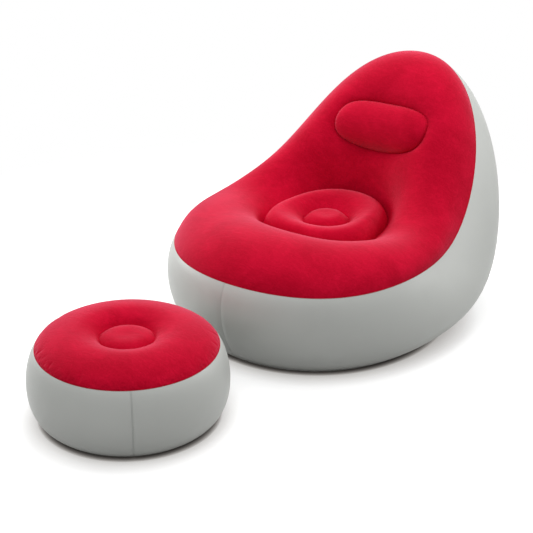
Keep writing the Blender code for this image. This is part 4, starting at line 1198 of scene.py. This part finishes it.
class CHAIR_OT_bolster(bpy.types.Operator):
    """Velour skin of the front edge, arms and back, with the collar that dips to the pillow's crease"""
    bl_idname = "inflatable_chair.bolster"
    bl_label = "Bolster"

    def execute(self, context):
        looks = context.scene.inflatable_chair
        settle_padded(build_bolster(looks), "chair", materials(looks)["red_velour"], "bolster_skin")
        return {"FINISHED"}


class CHAIR_OT_seat(bpy.types.Operator):
    """Ring pad and round button in the middle of the seat"""
    bl_idname = "inflatable_chair.seat"
    bl_label = "Seat pad and button"

    def execute(self, context):
        looks = context.scene.inflatable_chair
        velour = materials(looks)["red_velour"]
        film = looks.sizes.velour_film
        depth = looks.sizes.crease_pucker_depth

        def relief(angle, share, length):
            """Gathers at the button + gathers at the pad's edge"""
            inner = grooves("pad at the button", angle, share * length, BUTTON_RADIUS, depth)
            return inner + grooves("pad at its edge", angle, (1 - share) * length, PAD_RADIUS, depth)

        ring = build_ring_skin("seat_pad", pad, SMALL_STEPS, PAD_ROWS, film, PAD_AIR, relief)
        settle_padded(ring, "chair", velour, "seat_pad_skin")
        middle = thicken(dome("seat_button", button, SMALL_STEPS, BUTTON_ROWS), film)
        settle_padded(middle, "chair", velour, "seat_button_skin")
        return {"FINISHED"}


class CHAIR_OT_pillow(bpy.types.Operator):
    """Oval head pillow on the backrest"""
    bl_idname = "inflatable_chair.pillow"
    bl_label = "Head pillow"

    def execute(self, context):
        looks = context.scene.inflatable_chair
        settle_padded(build_pillow(looks), "chair", materials(looks)["red_velour"], "head_pillow_skin")
        return {"FINISHED"}


class CHAIR_OT_walls(bpy.types.Operator):
    """Two smooth side walls with the upright welds between them and the floor sheet"""
    bl_idname = "inflatable_chair.walls"
    bl_label = "Side walls and floor"

    def execute(self, context):
        looks = context.scene.inflatable_chair
        paints = materials(looks)
        film = looks.sizes.wall_film
        for side, node in ((1, "right_wall_skin"), (-1, "left_wall_skin")):
            settle(thicken(build_wall(looks, side), film), "chair", paints["grey_film"], node)
        seams = (("front_weld", 0.0, "front_wall_weld"), ("rear_weld", np.pi, "rear_wall_weld"))
        for name, middle, node in seams:
            strip = thicken(seam_strip(name, wall, middle, WALL_ROWS, SEAM_VALLEY), film + SEAM_PROUD)
            settle(strip, "chair", paints["grey_weld"], node)
        sheet = thicken(disc("floor_sheet", floor_ring, SMALL_STEPS), film)
        settle(sheet, "chair", paints["grey_film"], "floor_skin")
        return {"FINISHED"}


class CHAIR_OT_welds(bpy.types.Operator):
    """Weld beads along the rim, the floor and the three creases"""
    bl_idname = "inflatable_chair.welds"
    bl_label = "Weld lines"

    def execute(self, context):
        looks = context.scene.inflatable_chair
        paints = materials(looks)
        angles = round_angles(ROUND_STEPS)
        small = round_angles(SMALL_STEPS, 0.0)
        add_beads(paints, "chair", (
            ("rim_bead", rim_ring(angles), WELD_RADIUS, "velour_weld", "rim_weld"),
            ("floor_bead", floor_ring(angles), WELD_RADIUS, "wall_weld", "floor_weld"),
            ("pad_bead", pad_ring(small), CREASE_WELD_RADIUS, "velour_weld", "pad_crease_weld"),
            ("button_bead", button_ring(small), CREASE_WELD_RADIUS, "velour_weld", "button_crease_weld"),
            ("pillow_bead", PillowLayout().crease, CREASE_WELD_RADIUS, "velour_weld", "pillow_crease_weld"),
        ))
        return {"FINISHED"}


class CHAIR_OT_footstool(bpy.types.Operator):
    """Round footstool: velour top and button, smooth wall, floor sheet and weld lines"""
    bl_idname = "inflatable_chair.footstool"
    bl_label = "Footstool"

    def execute(self, context):
        looks = context.scene.inflatable_chair
        paints = materials(looks)
        sizes = looks.sizes

        def relief(angle, share, length):
            """Gathers at the rim + gathers at the button"""
            rim = grooves("footstool top at the rim", angle, (1 - share) * length, STOOL_RIM_RADIUS,
                          sizes.pucker_depth)
            return rim + grooves("footstool top at the button", angle, share * length, STOOL_BUTTON_RADIUS,
                                 sizes.crease_pucker_depth)

        top = build_ring_skin("footstool_top", stool_top, STOOL_STEPS, STOOL_TOP_ROWS, sizes.velour_film,
                              STOOL_AIR, relief, STOOL_PLACE)
        settle_padded(top, "footstool", paints["red_velour"], "footstool_top_skin")
        middle = dome("footstool_button", stool_button, SMALL_STEPS, STOOL_BUTTON_ROWS, STOOL_PLACE)
        settle_padded(thicken(middle, sizes.velour_film), "footstool", paints["red_velour"],
                      "footstool_button_skin")
        skin = thicken(build_stool_wall(looks), sizes.wall_film)
        settle(skin, "footstool", paints["grey_film"], "footstool_wall_skin")
        strip = seam_strip("footstool_weld", stool_wall, STOOL_SEAM_TURN, STOOL_WALL_ROWS,
                           STOOL_SEAM_VALLEY, STOOL_PLACE)
        settle(thicken(strip, sizes.wall_film + SEAM_PROUD), "footstool", paints["grey_weld"],
               "footstool_wall_weld")
        sheet = disc("footstool_floor_sheet", stool_floor, SMALL_STEPS, STOOL_PLACE)
        settle(thicken(sheet, sizes.wall_film), "footstool", paints["grey_film"],
               "footstool_floor_skin")
        angles = round_angles(STOOL_STEPS, 0.0)
        rim, floor, crease = [ring(angles) + STOOL_PLACE for ring in (stool_rim, stool_floor, stool_crease)]
        add_beads(paints, "footstool", (
            ("footstool_rim_bead", rim, WELD_RADIUS, "velour_weld", "footstool_rim_weld"),
            ("footstool_floor_bead", floor, WELD_RADIUS, "wall_weld", "footstool_floor_weld"),
            ("footstool_crease_bead", crease, CREASE_WELD_RADIUS, "velour_weld", "footstool_crease_weld"),
        ))
        return {"FINISHED"}


class CHAIR_OT_small_parts(bpy.types.Operator):
    """Finishes of the valves and of the inner ties, whose CAD shapes stay"""
    bl_idname = "inflatable_chair.small_parts"
    bl_label = "Valves and inner ties"

    def execute(self, context):
        paints = materials(context.scene.inflatable_chair)
        chosen = {
            "valve_plastic": ("valve_body", "valve_cap", "footstool_valve_body", "footstool_valve_cap"),
            "clear_film": ("valve_flap", "footstool_valve_flap", "seat_tie_wall", "button_tie_wall",
                           "pillow_tie_sheet", "footstool_tie_wall"),
        }
        for paint, names in chosen.items():
            for name in names:
                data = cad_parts[name].data
                data.materials.clear()
                data.materials.append(paints[paint])
        return {"FINISHED"}


def floor_finish():
    """Pale floor, near white to the eye, that keeps the lamps' shadow and has a painted shadow with a
    dark line where the pieces touch it.

    The painted shadow is the openness close by x the openness further off, each to its power; it
    darkens the floor's colour and glow and warms the glow. Past the fade the floor is plain white.
    """
    finish = Finish(bpy.data.materials.new("pale_floor"))
    middle = {0: finish.place(), 1: LAMP_TARGET}
    from_set = finish.node("ShaderNodeVectorMath", {"operation": "SUBTRACT"}, middle)
    distance = finish.node("ShaderNodeVectorMath", {"operation": "LENGTH"}, {0: from_set}, "Value")
    # Painted shadow: the floor's colour and glow darken and warm where the pieces stand close
    painted_contact_line = finish.openness(PAINTED_CONTACT_REACH, PAINTED_SHADOW_SAMPLES) ** PAINTED_CONTACT_POWER
    painted_shadow = painted_contact_line * finish.openness(PAINTED_SHADOW_REACH, PAINTED_SHADOW_SAMPLES) ** PAINTED_SHADOW_POWER
    near = finish.shader(
        Base_Color=finish.mix(painted_shadow, BLACK, FLOOR_LIT), Roughness=1.0, Specular_IOR_Level=0.0,
        Emission_Color=finish.mix(painted_shadow, BLACK, finish.mix(painted_shadow, PAINTED_SHADOW_WARMTH, WHITE)),
        Emission_Strength=FLOOR_GLOW)
    white = finish.node("ShaderNodeEmission", None, {"Color": WHITE, "Strength": 1.0})
    shown = finish.blend(distance.step(*FLOOR_FADE), near, white)
    plain = finish.shader(Base_Color=FLOOR_BOUNCE, Roughness=1.0, Specular_IOR_Level=0.0)
    return finish.end(finish.blend(finish.seen(), plain, shown))


def paint_world(strength):
    """Even light of this strength from all round, behind a plain white that only lines of sight meet"""
    world = bpy.data.worlds.new("room")
    bpy.context.scene.world = world
    room = Finish(world)
    soft = room.node("ShaderNodeBackground", None, {"Color": WHITE, "Strength": strength})
    white = room.node("ShaderNodeBackground", None, {"Color": WHITE, "Strength": 1.0})
    room.end(room.blend(room.seen(), soft, white), "ShaderNodeOutputWorld")


def add_lamp(name, spot, width, power):
    """Round soft light of this width that looks at the middle of the set"""
    data = bpy.data.lights.new(name, "AREA")
    data.shape = "DISK"
    data.size = width
    data.energy = power
    lamp = bpy.data.objects.new(name, data)
    bpy.context.scene.collection.objects.link(lamp)
    lamp.location = spot
    lamp.rotation_euler = (Vector(LAMP_TARGET) - Vector(spot)).to_track_quat("-Z", "Y").to_euler()


class CHAIR_OT_stage(bpy.types.Operator):
    """Pale floor, soft studio light and the camera"""
    bl_idname = "inflatable_chair.stage"
    bl_label = "Stage, light and camera"

    def execute(self, context):
        stage = context.scene.inflatable_chair.stage
        half = stage.floor_reach
        square = ((-half, -half), (half, -half), (half, half), (-half, half))
        corners = [[x, y, -FLOOR_DEPTH] for x, y in square]
        floor = new_piece("stage_floor", corners, np.array([[0, 1, 2, 3]]))
        floor.data.materials.append(floor_finish())
        paint_world(stage.sky_light)
        for name, spot, width, power in LAMPS:
            add_lamp(name, spot, width, power * stage.lamp_share)
        data = bpy.data.cameras.new("view")
        data.sensor_fit = "HORIZONTAL"
        data.sensor_width = CAMERA_SENSOR
        data.lens = CAMERA_LENS
        data.clip_end = CAMERA_SIGHT
        camera = bpy.data.objects.new("view", data)
        context.scene.collection.objects.link(camera)
        camera.location = CAMERA_PLACE
        camera.rotation_euler = (math.radians(90 - CAMERA_TILT), 0.0, math.radians(CAMERA_AZIMUTH))
        context.scene.camera = camera
        context.scene.view_settings.view_transform = "Standard"
        return {"FINISHED"}


class ChairLooks(bpy.types.PropertyGroup):
    finishes: bpy.props.PointerProperty(type=ChairFinishes)
    sizes: bpy.props.PointerProperty(type=ChairSizes)
    stage: bpy.props.PointerProperty(type=ChairStage)


STEPS = (CHAIR_OT_stage, CHAIR_OT_bolster, CHAIR_OT_seat, CHAIR_OT_pillow, CHAIR_OT_walls, CHAIR_OT_welds,
         CHAIR_OT_footstool, CHAIR_OT_small_parts)


class CHAIR_PT_looks(bpy.types.Panel):
    """Sizes, finishes and steps of the inflatable chair"""
    bl_idname = "CHAIR_PT_looks"
    bl_label = "Inflatable Chair"
    bl_space_type = "VIEW_3D"
    bl_region_type = "UI"
    bl_category = "Inflatable Chair"

    def draw(self, context):
        looks = context.scene.inflatable_chair
        for group in (looks.finishes, looks.sizes, looks.stage):
            box = self.layout.box()
            for key in group.bl_rna.properties.keys():
                if key not in {"rna_type", "name"}:
                    box.prop(group, key)
        for step in STEPS:
            self.layout.operator(step.bl_idname)


CLASSES = (ChairFinishes, ChairSizes, ChairStage, ChairLooks, *STEPS, CHAIR_PT_looks)


def register():
    for kind in CLASSES:
        bpy.utils.register_class(kind)
    bpy.types.Scene.inflatable_chair = bpy.props.PointerProperty(type=ChairLooks)


def unregister():
    del bpy.types.Scene.inflatable_chair
    for kind in reversed(CLASSES):
        bpy.utils.unregister_class(kind)


def main():
    register()
    for step in STEPS:
        group, name = step.bl_idname.split(".")
        result = getattr(getattr(bpy.ops, group), name)()
        if "FINISHED" not in result:
            raise RuntimeError(f"{step.bl_label} did not finish")
    bpy.context.view_layer.update()


if __name__ == "__main__":
    main()
